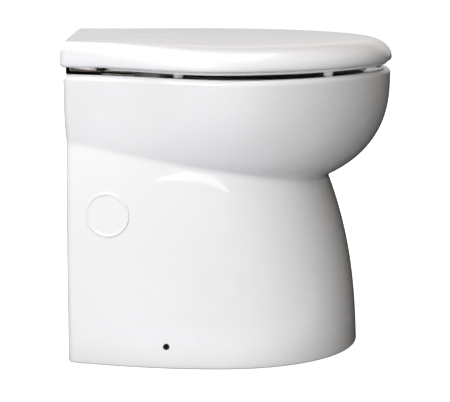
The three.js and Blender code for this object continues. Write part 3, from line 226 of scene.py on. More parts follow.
def flank(plan):
    """The side from the end of the rear corner to the tip of the nose, as even points, smoothed."""
    corner = plan.get("corner", CORNER)
    reach = plan["widest"] - plan["rear"] - corner
    slope = math.atan(2 * (1 - plan["ease"]) * (plan["half"] - plan["rear_half"]) / reach)
    start = plan.get("from", plan["rear"]) + corner * (1 - math.sin(slope))
    side_x = np.linspace(start, plan["widest"], DENSE)
    side = np.stack([side_x, half_width(plan, side_x, plan["rear"] + corner * (1 - math.sin(slope)))], 1)
    turn = np.linspace(0, np.pi / 2, DENSE)
    nose_x = plan["widest"] + (plan["nose"] - plan["widest"]) * np.sin(turn) ** (2 / plan["power"])
    nose_y = plan["half"] * np.abs(np.cos(turn)) ** (2 / plan["power"])
    path = np.concatenate([side[:-1], np.stack([nose_x, nose_y], 1)])
    even = resampled(path, DENSE)
    step = np.linalg.norm(even[1] - even[0])
    width = SMOOTHING / step
    pad = int(BELL_REACH * width)
    before = even[0] + (even[0] - even[1]) * np.arange(pad, 0, -1)[:, None]
    after = even[-2:-pad - 2:-1] * np.array([1, -1])
    padded = np.concatenate([before, even, after])
    bell = np.exp(-0.5 * (np.arange(-pad, pad + 1) / width) ** 2)
    bell /= bell.sum()
    smooth = np.stack([np.convolve(padded[:, k], bell, "valid") for k in (0, 1)], 1)
    smooth[-1, 1] = 0
    return smooth, slope, corner


def resampled(path, count):
    steps = np.linalg.norm(np.diff(path, axis=0), axis=1)
    along = np.concatenate([[0], np.cumsum(steps)])
    even = np.linspace(0, along[-1], count)
    return np.stack([np.interp(even, along, path[:, k]) for k in range(path.shape[1])], 1)


def outline(plan):
    """A closed loop of points, anticlockwise from the middle of the rear."""
    side, slope, corner = flank(plan)
    turn_end = math.pi / 2 - slope
    first = side[0]
    centre = np.array([first[0] + corner * math.cos(turn_end), first[1] - corner * math.sin(turn_end)])
    rear_x = centre[0] - corner
    rear = [(rear_x, centre[1] * k / REAR_POINTS) for k in range(REAR_POINTS)]
    arc = []
    for k in range(CORNER_POINTS):
        turn = turn_end * k / CORNER_POINTS
        arc.append((centre[0] - corner * math.cos(turn), centre[1] + corner * math.sin(turn)))
    half = np.array(rear + arc + [tuple(p) for p in resampled(side, FLANK_POINTS)])
    return np.concatenate([half * (1, -1), half[-2:0:-1]])


def egg(plan, by, toward):
    """An egg-shaped hole, with one point in the direction of each point of another loop."""
    x, y = (toward - np.array([plan["at"], 0])).T
    reach = np.where(x >= 0, plan["nose"] - plan["at"], plan["at"] - plan["rear"]) + by
    length = np.hypot(x, y)
    along = np.abs(x / length / reach) ** plan["power"]
    across = np.abs(y / length / (plan["half"] + by)) ** plan["power"]
    radius = (along + across) ** (-1 / plan["power"])
    return np.stack([plan["at"] + radius * x / length, radius * y / length], 1)


def quarter(first, steps):
    """Angles from the first step to the last of a quarter turn."""
    return [math.pi / 2 * k / steps for k in range(first, steps + 1)]


def at_height(loop, z):
    return np.column_stack([loop, np.broadcast_to(z, len(loop))])


# Meshes
def link(name, mesh):
    piece = bpy.data.objects.new(name, mesh)
    bpy.context.scene.collection.objects.link(piece)
    return piece


def loft_mesh(name, rings, closed=False):
    """A skin over loops of equal length. Unless closed, the two ends are capped by fans."""
    count = len(rings[0])
    points = [tuple(p) for ring in rings for p in ring]
    faces = []
    last = len(rings) if closed else len(rings) - 1
    for level in range(last):
        low = level * count
        high = ((level + 1) % len(rings)) * count
        for k in range(count):
            n = (k + 1) % count
            faces.append((low + k, low + n, high + n, high + k))
    if not closed:
        top = (len(rings) - 1) * count
        points.append(tuple(np.mean(rings[0], axis=0)))
        points.append(tuple(np.mean(rings[-1], axis=0)))
        for k in range(count):
            n = (k + 1) % count
            faces.append((len(points) - 2, n, k))
            faces.append((len(points) - 1, top + k, top + n))
    mesh = bpy.data.meshes.new(name)
    mesh.from_pydata(points, [], faces)
    mesh.update()
    grown = bmesh.new()
    grown.from_mesh(mesh)
    bmesh.ops.remove_doubles(grown, verts=grown.verts, dist=WELD)
    bmesh.ops.recalc_face_normals(grown, faces=grown.faces)
    grown.to_mesh(mesh)
    grown.free()
    return mesh


def applied(piece):
    """Bakes the modifiers into the mesh."""
    graph = bpy.context.evaluated_depsgraph_get()
    mesh = bpy.data.meshes.new_from_object(piece.evaluated_get(graph))
    piece.modifiers.clear()
    piece.data = mesh


def cut(piece, tools):
    """Takes the tools away from the piece, and removes them."""
    for tool in tools:
        step = piece.modifiers.new("cut", "BOOLEAN")
        step.operation = "DIFFERENCE"
        step.object = tool
        step.solver = "EXACT"
        applied(piece)
    for tool in tools:
        bpy.data.objects.remove(tool)


def smooth(piece, angle):
    """Smooth shading that keeps edges sharper than the angle."""
    mesh = piece.data
    mesh.polygons.foreach_set("use_smooth", [True] * len(mesh.polygons))
    grown = bmesh.new()
    grown.from_mesh(mesh)
    limit = math.radians(angle)
    for edge in grown.edges:
        edge.smooth = len(edge.link_faces) == 2 and edge.calc_face_angle() < limit
    grown.to_mesh(mesh)
    grown.free()


def finished(piece, material, slot, body, *nodes):
    """Gives a piece its material and body, and hides the frame's nodes that it stands for. The slot
    argument is not used.
    """
    piece.data.materials.clear()
    piece.data.materials.append(material)
    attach(piece, body)
    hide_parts(*nodes)
    return piece


# China
CHINA_NODES = ("ceramic_bowl", "ceramic_basin", "ceramic_pedestal")
CREASE_SLOPE = (CREASE_REAR_HEIGHT - CREASE_NOSE_HEIGHT) / (CREASE["nose"] - CREASE["rear"])


def crease_height(x):
    return CREASE_NOSE_HEIGHT + CREASE_SLOPE * (CREASE["nose"] - x)


def skirt_plan(share):
    return mixed(BASE, CREASE, SKIRT_DRAFT_SHARE * share + (1 - SKIRT_DRAFT_SHARE) * share ** SKIRT_POWER)


def bowl_plan(share):
    plan = mixed(CREASE, RIM, (1 - (1 - share) ** BOWL_POWER) ** (1 / BOWL_ROUNDNESS))
    plan["rear"] = CREASE["rear"] + (RIM["rear"] - CREASE["rear"]) * min(share / REAR_STEP_SHARE, 1)
    return plan


def skirt_ring(share, by=0.0):
    loop = outline(inset(skirt_plan(share), by))
    return at_height(loop, crease_height(loop[:, 0]) * share)


def bowl_ring(share, by=0.0):
    loop = outline(inset(bowl_plan(share), by))
    low = crease_height(loop[:, 0])
    return at_height(loop, low + (SHOULDER_HEIGHT - low) * share)


def china_skin():
    """Rings from the foot over the rounded crease to the top of the rim."""
    rings = []
    for k in range(FOOT_STEPS):
        turn = math.pi / 2 * k / FOOT_STEPS
        loop = outline(inset(BASE, FOOT_EDGE * (1 - math.sin(turn))))
        rings.append(at_height(loop, FOOT_EDGE * (1 - math.cos(turn))))
    skirt = [k / SKIRT_STEPS for k in range(SKIRT_STEPS)]
    skirt[0] = FOOT_EDGE / CREASE_REAR_HEIGHT
    rings += [skirt_ring(s) for s in skirt if s < 1 - CREASE_SHARE]
    low = skirt_ring(1 - CREASE_SHARE)
    knee = skirt_ring(1.0)
    high = bowl_ring(2 * CREASE_SHARE)
    for k in range(CREASE_STEPS + 1):
        t = k / CREASE_STEPS
        rings.append(low * (1 - t) ** 2 + knee * 2 * t * (1 - t) + high * t ** 2)
    first = 2 * CREASE_SHARE
    bowl = [first + (1 - first) * k / BOWL_STEPS for k in range(1, BOWL_STEPS + 1)]
    rings += [bowl_ring(s) for s in bowl]
    for turn in quarter(0, RIM_STEPS):
        loop = outline(inset(RIM, RIM_EDGE * (1 - math.cos(turn))))
        rings.append(at_height(loop, RIM_HEIGHT - RIM_EDGE * (1 - math.sin(turn))))
    return rings


BORE = dict(rear=OUTLET_AT - OUTLET_BORE, nose=OUTLET_AT + OUTLET_BORE, half=OUTLET_BORE,
            at=OUTLET_AT, power=2)


def basin_rings(toward, by, bottom, count):
    wide = dict(OPENING)
    rim = LIP_WALL + FLUSH_CHANNEL
    wide.update(rear=OPENING["rear"] - rim, nose=OPENING["nose"] + rim, half=OPENING["half"] + rim)
    rings = []
    for k in range(count + 1):
        share = (k / count) ** 0.5
        shrink = 1 - (1 - share ** BASIN_POWER) ** 0.5
        plan = mixed(wide, BORE, shrink)
        rings.append(at_height(egg(plan, by, toward), DECK_UNDER + (bottom - DECK_UNDER) * share))
    return rings


def eased(share):
    share = np.clip(share, 0, 1)
    return share * share * (3 - 2 * share)


def china_room(rim, bottom):
    """A cutter for the space inside the pedestal, around the basin and its spigot."""
    inner = [skirt_ring(k / ROOM_STEPS, CHINA_WALL) for k in range(ROOM_STEPS + 1)]
    inner[0] = at_height(inner[0][:, :2], -ROOM_BELOW)
    inner += [bowl_ring(k / ROOM_STEPS, CHINA_WALL) for k in range(1, ROOM_STEPS + 1)]
    room = link("room", loft_mesh("room", inner))
    outer = basin_rings(rim, BASIN_WALL, bottom - BASIN_WALL, BASIN_OUTER_STEPS)[::-1]
    outer.append(at_height(outer[-1][:, :2], DECK_UNDER + BOSS_ABOVE))
    boss = link("boss", loft_mesh("boss", outer))
    spigot = cylinder("spigot", SPIGOT_RADIUS, SPIGOT_END, bottom, (OUTLET_AT, 0), ROUND_SIDES)
    cut(room, [boss, spigot])
    keep_largest(room)
    return room


def build_china(material):
    skin = china_skin()
    rim = skin[-1][:, :2]
    rings = list(skin)
    mouth = egg(OPENING, MOUTH_EDGE, rim)
    width = np.linalg.norm(mouth - rim, axis=1)
    for k in range(1, DISH_RINGS + 1):
        loop = rim + (mouth - rim) * (k / DISH_RINGS)
        fade = eased((loop[:, 0] - DISH_START) / DISH_FADE)
        drop = DISH_DEPTH * eased(width * k / DISH_RINGS / DISH_SLOPE) * fade
        rings.append(at_height(loop, RIM_HEIGHT - drop))
    for turn in quarter(1, MOUTH_STEPS):
        rings.append(at_height(egg(OPENING, MOUTH_EDGE * (1 - math.sin(turn)), rim),
                               RIM_HEIGHT - DISH_DEPTH - MOUTH_EDGE * (1 - math.cos(turn))))
    lip = RIM_HEIGHT - LIP_HEIGHT
    round_lip = LIP_WALL / 2
    rings.append(at_height(egg(OPENING, 0, rim), lip + round_lip))
    for k in range(1, LIP_STEPS + 1):
        turn = math.pi * k / LIP_STEPS
        rings.append(at_height(egg(OPENING, round_lip * (1 - math.cos(turn)), rim),
                               lip + round_lip * (1 - math.sin(turn))))
    rings.append(at_height(egg(OPENING, LIP_WALL, rim), DECK_UNDER))
    bottom = DECK_UNDER - BASIN_DEPTH
    rings += basin_rings(rim, 0, bottom, BASIN_STEPS)
    rings.append(at_height(egg(BORE, 0, rim), 0))
    china = link("china", loft_mesh("china", rings, closed=True))
    cutters = [china_room(rim, bottom), rear_arch()]
    for side in (-1, 1):
        cutters.append(fixing_hole(side))
    cut(china, cutters)
    smooth(china, CHINA_ANGLE)
    return finished(china, material, "ceramic", "pedestal", *CHINA_NODES)


def cylinder(name, radius, low, high, centre, sides):
    turn = np.linspace(0, 2 * np.pi, sides, endpoint=False)
    loop = np.stack([centre[0] + radius * np.cos(turn), centre[1] + radius * np.sin(turn)], 1)
    return link(name, loft_mesh(name, [at_height(loop, low), at_height(loop, high)]))


def keep_largest(piece):
    """Leaves only the biggest separate part of a mesh."""
    grown = bmesh.new()
    grown.from_mesh(piece.data)
    left = set(grown.verts)
    groups = []
    while left:
        group = set()
        queue = [left.pop()]
        while queue:
            vert = queue.pop()
            group.add(vert)
            for edge in vert.link_edges:
                other = edge.other_vert(vert)
                if other in left:
                    left.discard(other)
                    queue.append(other)
        groups.append(group)
    groups.sort(key=len)
    stray = [vert for group in groups[:-1] for vert in group]
    bmesh.ops.delete(grown, geom=stray, context="VERTS")
    grown.to_mesh(piece.data)
    grown.free()


def rear_arch():
    """A cutter for the opening in the back, flared at its outer face so that the edge is rounded."""
    face = CREASE["rear"]
    middle = ARCH_FLARE * ARCH_FLARE_SHARE
    rings = []
    for x, grow in ((RIM["rear"] - ARCH_BEHIND, ARCH_FLARE), (face, ARCH_FLARE), (face + middle, middle),
                    (face + ARCH_FLARE, 0), (face + ARCH_REACH, 0)):
        corner = ARCH_CORNER + grow
        half = ARCH_HALF + grow
        top = ARCH_HEIGHT + grow
        loop = [(x, -half, -ARCH_BELOW), (x, half, -ARCH_BELOW)]
        for side in (1, -1):
            for turn in quarter(0, ARCH_STEPS):
                across = half - corner + corner * (math.cos(turn) if side > 0 else math.sin(turn))
                up = top - corner + corner * (math.sin(turn) if side > 0 else math.cos(turn))
                loop.append((x, side * across, up))
        rings.append(np.array(loop))
    return link("arch", loft_mesh("arch", rings))


def fixing_wall():
    """Half width of the skirt at the fixing holes."""
    plan = skirt_plan(FIXING_HEIGHT / crease_height(FIXING_AT))
    return np.interp(FIXING_AT, *flank(plan)[0][:DENSE // 2].T)


def fixing_ring(y, radius):
    turn = np.linspace(0, 2 * np.pi, HOLE_SIDES, endpoint=False)
    return np.stack([FIXING_AT + radius * np.cos(turn), np.full(HOLE_SIDES, y),
                     FIXING_HEIGHT + radius * np.sin(turn)], 1)


def fixing_hole(side):
    wall = fixing_wall()
    rings = []
    for y, grow in ((wall + FIXING_OUTSIDE, FIXING_FLARE), (wall, FIXING_FLARE),
                    (wall - FIXING_FLARE, 0), (wall - FIXING_INSIDE, 0)):
        rings.append(fixing_ring(side * y, FIXING_RADIUS + grow))
    return link("hole", loft_mesh("hole", rings))


def build_shade_plug(side, material):
    """A black rubber plug a little behind the mouth of a fixing hole, with a pocket in its face. It is
    painted shade: a dark piece put in the hole so that the hole reads black.
    """
    wall = fixing_wall() - SHADE_PLUG_DEEP
    outside = FIXING_RADIUS - SHADE_PLUG_PLAY
    rings = []
    for depth, radius in ((SHADE_PLUG_LENGTH, outside), (0, outside), (0, SHADE_PLUG_BORE + SHADE_PLUG_FLARE),
                          (SHADE_PLUG_FLARE, SHADE_PLUG_BORE), (SHADE_PLUG_POCKET, SHADE_PLUG_BORE)):
        rings.append(fixing_ring(side * (wall - depth), radius))
    name = "shade_plug_left" if side < 0 else "shade_plug_right"
    piece = link(name, loft_mesh(name, rings))
    smooth(piece, CHINA_ANGLE)
    return finished(piece, material, "black_rubber", "pedestal")


def build_medallion(side, material):
    """The raised bare disc, laid on the curved skirt."""
    turn = np.linspace(0, 2 * np.pi, ROUND_SIDES, endpoint=False)
    profile = [(1.0, MEDALLION_ROOT)]
    for k in range(MEDALLION_STEPS + 1):
        bend = math.pi * k / MEDALLION_STEPS
        height = math.sin(bend)
        if bend >= math.pi / 2:
            height = MEDALLION_FACE + (1 - MEDALLION_FACE) * height
        profile.append((1 - MEDALLION_RIM / MEDALLION_RADIUS * (1 - math.cos(bend)) / 2, height))
    edge = profile[-1][0]
    profile += [(edge * (1 - k / MEDALLION_STEPS), MEDALLION_FACE) for k in range(1, MEDALLION_STEPS)]
    rings = []
    for share, height in profile:
        x = MEDALLION_AT + MEDALLION_RADIUS * share * np.cos(turn)
        z = MEDALLION_HEIGHT + MEDALLION_RADIUS * share * np.sin(turn)
        y = np.array([skirt_side(a, b) for a, b in zip(x, z)])
        rings.append(np.stack([x, side * (y + height * MEDALLION_RISE), z], 1))
    name = "medallion_left" if side < 0 else "medallion_right"
    piece = link(name, loft_mesh(name, rings))
    smooth(piece, MEDALLION_ANGLE)
    return finished(piece, material, "ceramic", "pedestal")


SKIRT_CACHE = {}
SKIRT_SHARES = (0.55, 0.95, 21)
SKIRT_PLACES = (-0.205, -0.13, 26)


def skirt_side(x, z):
    """Half width of the skirt at a place, from a table of its outlines."""
    if not SKIRT_CACHE:
        shares = np.linspace(*SKIRT_SHARES)
        xs = np.linspace(*SKIRT_PLACES)
        SKIRT_CACHE["shares"] = shares
        SKIRT_CACHE["xs"] = xs
        table = []
        for s in shares:
            line = flank(skirt_plan(s))[0][:DENSE // 2]
            table.append(np.interp(xs, line[:, 0], line[:, 1]))
        SKIRT_CACHE["table"] = np.array(table)
    share = z / crease_height(x)
    column = [np.interp(x, SKIRT_CACHE["xs"], row) for row in SKIRT_CACHE["table"]]
    return float(np.interp(share, SKIRT_CACHE["shares"], column))


# Seat and lid
BUFFERS = [f"seat_buffer_{k}" for k in (1, 2, 3, 4)] + ["lid_buffer_1", "lid_buffer_2"]
BUFFER_SIDES = 48
BUFFER_STEPS = 8
BUFFER_FLAT = 0.15
BUFFER_DOME = 0.0068


def build_seat(material):
    def outer(by):
        plan = inset(COVER, by)
        plan["from"] = SEAT_REAR
        plan["corner"] = SEAT_CORNER
        return outline(plan)

    base = outer(SEAT_BODY_INSET)
    rings = []

    def add(loop, z):
        rings.append(at_height(loop, z))

    body_foot = SEAT_UNDER + SEAT_FLANGE
    for turn in quarter(0, SEAT_FOOT_STEPS):
        add(outer(SEAT_INSET + SEAT_FOOT * (1 - math.sin(turn))),
            SEAT_UNDER + SEAT_FOOT * (1 - math.cos(turn)))
    for turn in quarter(0, SEAT_FLANGE_STEPS):
        add(outer(SEAT_INSET + SEAT_FLANGE_EDGE * (1 - math.cos(turn))),
            body_foot - SEAT_FLANGE_EDGE * (1 - math.sin(turn)))
    add(outer(SEAT_BODY_INSET), body_foot)
    for turn in quarter(0, SEAT_EDGE_STEPS):
        add(outer(SEAT_BODY_INSET + SEAT_EDGE * (1 - math.cos(turn))),
            SEAT_TOP - SEAT_EDGE * (1 - math.sin(turn)))
    top = rings[-1][:, :2]
    mouth = egg(SEAT_OPENING, SEAT_EDGE, base)
    for k in range(1, SEAT_EDGE_STEPS + 1):
        t = k / SEAT_EDGE_STEPS
        add(top + (mouth - top) * t, SEAT_TOP - SEAT_DISH * eased(t))
    for turn in quarter(1, SEAT_EDGE_STEPS):
        add(egg(SEAT_OPENING, SEAT_EDGE * (1 - math.sin(turn)), base),
            SEAT_TOP - SEAT_DISH - SEAT_EDGE * (1 - math.cos(turn)))
    for turn in quarter(0, SEAT_FOOT_STEPS):
        add(egg(SEAT_OPENING, SEAT_FOOT * (1 - math.cos(turn)), base),
            SEAT_UNDER + SEAT_FOOT * (1 - math.sin(turn)))
    piece = link("seat", loft_mesh("seat", rings, closed=True))
    smooth(piece, SEAT_ANGLE)
    return finished(piece, material, "seat_plastic", "seat", "seat_ring")


def lid_lift(x):
    """How much higher the lid's top stands towards its rear."""
    return LID_REAR_RISE * np.maximum(x / COVER["rear"], 0)


def build_buffer(node, body):
    """A soft dome under the seat or the lid, in the place of the frame's plain one."""
    low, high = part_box(node)
    radius = (high[0] - low[0]) / 2
    middle = [(low[k] + high[k]) / 2 for k in (0, 1)]
    turn = np.linspace(0, 2 * np.pi, BUFFER_SIDES, endpoint=False)
    rings = []
    for k in range(BUFFER_STEPS + 1):
        lean = math.pi / 2 * (1 - k / BUFFER_STEPS)
        reach = radius * (BUFFER_FLAT + (1 - BUFFER_FLAT) * math.cos(lean))
        loop = np.stack([middle[0] + reach * np.cos(turn), middle[1] + reach * np.sin(turn)], 1)
        rings.append(at_height(loop, low[2] + BUFFER_DOME * (1 - math.sin(lean))))
    rings.append(at_height(rings[-1][:, :2], high[2]))
    piece = link("soft_" + node, loft_mesh(node, rings))
    smooth(piece, SEAT_ANGLE)
    return finished(piece, MATERIALS["white_rubber"], "white_rubber", body, node)


def build_lid(material):
    rings = []

    def outer(side, rear, nose, corner, low, high):
        loop = outline(inset(COVER, side, rear, nose, corner))
        rings.append(at_height(loop, low + high * (1 + lid_lift(loop[:, 0]) / (flat - LID_WAIST))))

    flat = LID_TOP - LID_CROWN
    for k in range(LID_ROUND_STEPS + 1):
        turn = math.pi / 2 * (1 - k / LID_ROUND_STEPS)
        share = 1 - math.cos(turn)
        outer(LID_ROUND_SIDE * share, LID_ROUND_REAR * share, LID_ROUND_NOSE * share,
              LID_ROUND_CORNER * share, LID_WAIST, (flat - LID_WAIST) * math.sin(turn))
    crown = rings[0][:, :2]
    caps = []
    for k in range(1, LID_CROWN_STEPS):
        share = 1 - k / LID_CROWN_STEPS
        loop = crown * share
        caps.append(at_height(loop, flat + LID_CROWN * (1 - share ** 2) + lid_lift(loop[:, 0])))
    rings = caps[::-1] + rings
    for turn in quarter(1, LID_FOOT_STEPS):
        share = 1 - math.cos(turn)
        foot = LID_FOOT_INSET * share
        outer(foot, foot, foot, foot, LID_WAIST - (LID_WAIST - LID_FOOT) * math.sin(turn), 0)
    ceiling = flat - LID_WALL

    def inner(share, z):
        rings.append(at_height(outline(inset(
            COVER,
            LID_SIDE_WALL + (LID_ROOM_ROUND - LID_SIDE_WALL) * share,
            LID_WALL + (LID_ROUND_REAR - LID_WALL) * share + LID_REAR_EXTRA,
            LID_SIDE_WALL + (LID_ROOM_NOSE - LID_SIDE_WALL) * share)), z))

    inner(0, LID_FOOT)
    for turn in quarter(0, LID_ROOM_STEPS):
        inner(1 - math.cos(turn), LID_WAIST + (ceiling - LID_WAIST) * math.sin(turn))
    piece = link("lid_shell", loft_mesh("lid_shell", rings))
    cutters = [box_mesh("cut", low, high) for low, high in lid_cuts()]
    cut(piece, cutters)
    smooth(piece, LID_ANGLE)
    return finished(piece, material, "seat_plastic", "lid", "lid")


def lid_cuts():
    """The notches over the hinge bases and the slots for the ears, as boxes."""
    for side in (-1, 1):
        middle = side * HINGE_SIDE
        yield (CUT_REAR, middle - NOTCH_REACH, CUT_LOW), (NOTCH_FRONT, middle + NOTCH_REACH, NOTCH_TOP)
        yield (CUT_REAR, middle - SLOT_REACH, CUT_LOW), (SLOT_FRONT, middle + SLOT_REACH, SLOT_TOP)


def box_mesh(name, low, high):
    loop = np.array([(low[0], low[1]), (high[0], low[1]), (high[0], high[1]), (low[0], high[1])])
    return link(name, loft_mesh(name, [at_height(loop, low[2]), at_height(loop, high[2])]))


# Materials
COLOR_DETAIL = 3
ROUGHNESS_DETAIL = 4
BUMP_DETAIL = 2
RAMP_LOW = 0.35
RAMP_HIGH = 0.65


def shader(name, color, roughness, metallic=0.0, coat=0.0, coat_roughness=0.03):
    material = bpy.data.materials.new(name)
    material.use_nodes = True
    nodes = material.node_tree.nodes
    surface = nodes["Principled BSDF"]
    surface.inputs["Base Color"].default_value = (*color, 1)
    surface.inputs["Roughness"].default_value = roughness
    surface.inputs["Metallic"].default_value = metallic
    surface.inputs["Coat Weight"].default_value = coat
    surface.inputs["Coat Roughness"].default_value = coat_roughness
    return material, material.node_tree, surface


def add_node(tree, kind, **values):
    node = tree.nodes.new(kind)
    for name, value in values.items():
        node.inputs[name].default_value = value
    return node


def object_coords(tree, scale=(1, 1, 1)):
    coords = tree.nodes.new("ShaderNodeTexCoord")
    mapping = add_node(tree, "ShaderNodeMapping", Scale=scale)
    tree.links.new(coords.outputs["Object"], mapping.inputs["Vector"])
    return mapping.outputs["Vector"]


def vary_color(tree, surface, first, second, scale, stretch=(1, 1, 1)):
    noise = add_node(tree, "ShaderNodeTexNoise", Scale=scale, Detail=COLOR_DETAIL)
    tree.links.new(object_coords(tree, stretch), noise.inputs["Vector"])
    ramp = tree.nodes.new("ShaderNodeValToRGB")
    low, high = ramp.color_ramp.elements
    low.position = RAMP_LOW
    low.color = (*first, 1)
    high.position = RAMP_HIGH
    high.color = (*second, 1)
    tree.links.new(noise.outputs["Fac"], ramp.inputs["Fac"])
    tree.links.new(ramp.outputs["Color"], surface.inputs["Base Color"])


def vary_roughness(tree, surface, low, high, scale, stretch=(1, 1, 1)):
    noise = add_node(tree, "ShaderNodeTexNoise", Scale=scale, Detail=ROUGHNESS_DETAIL)
    tree.links.new(object_coords(tree, stretch), noise.inputs["Vector"])
    reach = add_node(tree, "ShaderNodeMapRange")
    reach.inputs["To Min"].default_value = low
    reach.inputs["To Max"].default_value = high
    tree.links.new(noise.outputs["Fac"], reach.inputs["Value"])
    tree.links.new(reach.outputs["Result"], surface.inputs["Roughness"])


def bump(tree, surface, scale, strength, depth, stretch=(1, 1, 1), coat=False):
    noise = add_node(tree, "ShaderNodeTexNoise", Scale=scale, Detail=BUMP_DETAIL)
    tree.links.new(object_coords(tree, stretch), noise.inputs["Vector"])
    lift = add_node(tree, "ShaderNodeBump", Strength=strength, Distance=depth)
    tree.links.new(noise.outputs["Fac"], lift.inputs["Height"])
    tree.links.new(lift.outputs["Normal"], surface.inputs["Normal"])
    if coat:
        tree.links.new(lift.outputs["Normal"], surface.inputs["Coat Normal"])


def glazed_ceramic():
    material, tree, surface = shader("glazed_china", (0.86, 0.86, 0.855), 0.25, coat=1.0)
    surface.inputs["Specular IOR Level"].default_value = 0.15
    vary_color(tree, surface, (0.855, 0.855, 0.85), (0.88, 0.88, 0.876), 9)
    vary_roughness(tree, surface, 0.2, 0.32, 40)
    bump(tree, surface, 14, 0.15, 0.0006, coat=True)
    return material


def glossy_plastic():
    material, tree, surface = shader("seat_white", (0.88, 0.88, 0.88), 0.2, coat=0.6, coat_roughness=0.05)
    vary_color(tree, surface, (0.87, 0.87, 0.872), (0.89, 0.89, 0.889), 12)
    vary_roughness(tree, surface, 0.16, 0.26, 60)
    bump(tree, surface, 900, 0.05, 0.00005)
    return material


def polished_chrome():
    material, tree, surface = shader("chrome", (0.42, 0.39, 0.37), 0.06, metallic=1.0)
    vary_color(tree, surface, (0.36, 0.33, 0.31), (0.46, 0.43, 0.41), 90)
    vary_roughness(tree, surface, 0.05, 0.14, 220)
    return material


def brushed_steel():
    material, tree, surface = shader("steel", (0.6, 0.6, 0.61), 0.3, metallic=1.0)
    vary_color(tree, surface, (0.52, 0.52, 0.53), (0.66, 0.66, 0.67), 60, (1, 1, 14))
    vary_roughness(tree, surface, 0.24, 0.42, 200, (1, 1, 20))
    bump(tree, surface, 500, 0.12, 0.00008, (1, 1, 25))
    return material


def moulded(name, color, roughness, grain=1400, depth=0.00012):
    material, tree, surface = shader(name, color, roughness)
    dark = tuple(c * 0.85 for c in color)
    light = tuple(min(c * 1.12 + 0.004, 1) for c in color)
    vary_color(tree, surface, dark, light, 40)
    vary_roughness(tree, surface, roughness - 0.06, roughness + 0.08, 120)
    bump(tree, surface, grain, 0.25, depth)
    return material


def metal_paint():
    material, tree, surface = shader(
        "motor_enamel", (0.03, 0.035, 0.04), 0.35, coat=0.4, coat_roughness=0.15)
    vary_color(tree, surface, (0.025, 0.03, 0.034), (0.045, 0.05, 0.056), 30)
    bump(tree, surface, 260, 0.3, 0.00015)
    return material


def copper_winding():
    material, tree, surface = shader("winding", (0.55, 0.24, 0.1), 0.35, metallic=0.9)
    vary_color(tree, surface, (0.42, 0.17, 0.07), (0.7, 0.34, 0.15), 500, (30, 1, 1))
    bump(tree, surface, 900, 0.6, 0.0004, (40, 1, 1))
    return material


def turned_brass():
    material, tree, surface = shader("turned_brass", (0.62, 0.47, 0.2), 0.25, metallic=1.0)
    vary_color(tree, surface, (0.54, 0.4, 0.16), (0.68, 0.53, 0.25), 70)
    vary_roughness(tree, surface, 0.18, 0.36, 150)
    return material


def board_green():
    material, tree, surface = shader("board", (0.03, 0.13, 0.06), 0.35, coat=0.5)
    vary_color(tree, surface, (0.02, 0.1, 0.045), (0.05, 0.19, 0.09), 220)
    bump(tree, surface, 600, 0.3, 0.0002)
    return material


MATERIALS = {
    "ceramic": glazed_ceramic(),
    "seat_plastic": glossy_plastic(),
    # The white rubber is greyer than the seat's plastic; part of that grey is painted shade, for the
    # shade under the seat and lid where the buffers sit.
    "white_rubber": moulded("white_rubber", (0.78, 0.78, 0.76), 0.5, 500, 0.0001),
    "chrome": polished_chrome(),
    "steel": brushed_steel(),
    "white_plastic": moulded("white_plastic", (0.72, 0.73, 0.72), 0.4),
    "black_rubber": moulded("black_rubber", (0.018, 0.018, 0.018), 0.6, 700, 0.0002),
    "black_plastic": moulded("black_plastic", (0.02, 0.021, 0.023), 0.42),
    "grey_plastic": moulded("grey_plastic", (0.25, 0.27, 0.29), 0.42),
    "motor_paint": metal_paint(),
    "magnet": moulded("magnet", (0.06, 0.062, 0.065), 0.6, 400, 0.0003),
    "copper": copper_winding(),
    "brass": turned_brass(),
    "board": board_green(),
}


# CAD pieces that keep their shape: a copy with rounded edges and a proper finish
EDGE = 0.0004
EDGE_SEGMENTS = 2
WIDE_EDGES = {"hinge_base_left": 0.0015, "hinge_base_right": 0.0015}
WIDE_SEGMENTS = 5
BEVEL_ANGLE = 38
FLAT_ANGLE = 2


def dress(node, slot, body):
    source = frame["nodes"][node]
    mesh = source.data.copy()
    grown = bmesh.new()
    grown.from_mesh(mesh)
    bmesh.ops.remove_doubles(grown, verts=grown.verts, dist=WELD)
    bmesh.ops.dissolve_limit(
        grown, angle_limit=math.radians(FLAT_ANGLE), verts=grown.verts, edges=grown.edges)
    grown.to_mesh(mesh)
    grown.free()
    piece = link("dressed_" + node, mesh)
    bevel = piece.modifiers.new("bevel", "BEVEL")
    bevel.width = WIDE_EDGES.get(node, EDGE)
    bevel.segments = WIDE_SEGMENTS if node in WIDE_EDGES else EDGE_SEGMENTS
    bevel.limit_method = "ANGLE"
    bevel.angle_limit = math.radians(BEVEL_ANGLE)
    applied(piece)
    smooth(piece, DRESS_ANGLE)
    return finished(piece, MATERIALS[slot], slot, body, node)


def dress_cad():
    bodies = frame["record"]["behaviour"]["bodies"]
    body_of = {node: body for body, nodes in bodies.items() for node in nodes}
    own = {*CHINA_NODES, *BUFFERS, "seat_ring", "lid"}
    for entry in frame["record"]["subparts"]:
        node = entry["node"]
        if node not in own:
            dress(node, entry["material_slot"], body_of[node])


# Studio. The camera was fitted to the photograph's outline.
CAMERA_PLACE = (-0.00708, -2.1368, 0.6297)
CAMERA_PITCH = 0.1976
CAMERA_LENS = 120
CAMERA_SENSOR = 36
CAMERA_END = 60
FLOOR_REACH = 12
FLOOR_LOW = -0.0005
FLOOR_COLOR = (0.9, 0.9, 0.9)
FLOOR_ROUGHNESS = 0.7
FLOOR_GLOW = 0.9
WALL_HEIGHT = 6
ROOM_LIGHT = 0.24
ROOM_RIGHT = 0.75
ROOM_RISE = (-0.02, 0.25)
ROOM_SIDES = (-0.2, 0.8)
ROOM_COLOR = (1.0, 0.86, 0.68)
LIGHT_COLOR = (0.945, 0.959, 1.0)
LIGHT_TARGET = (0, 0, 0.25)
TABLE_LEVEL = 0.1


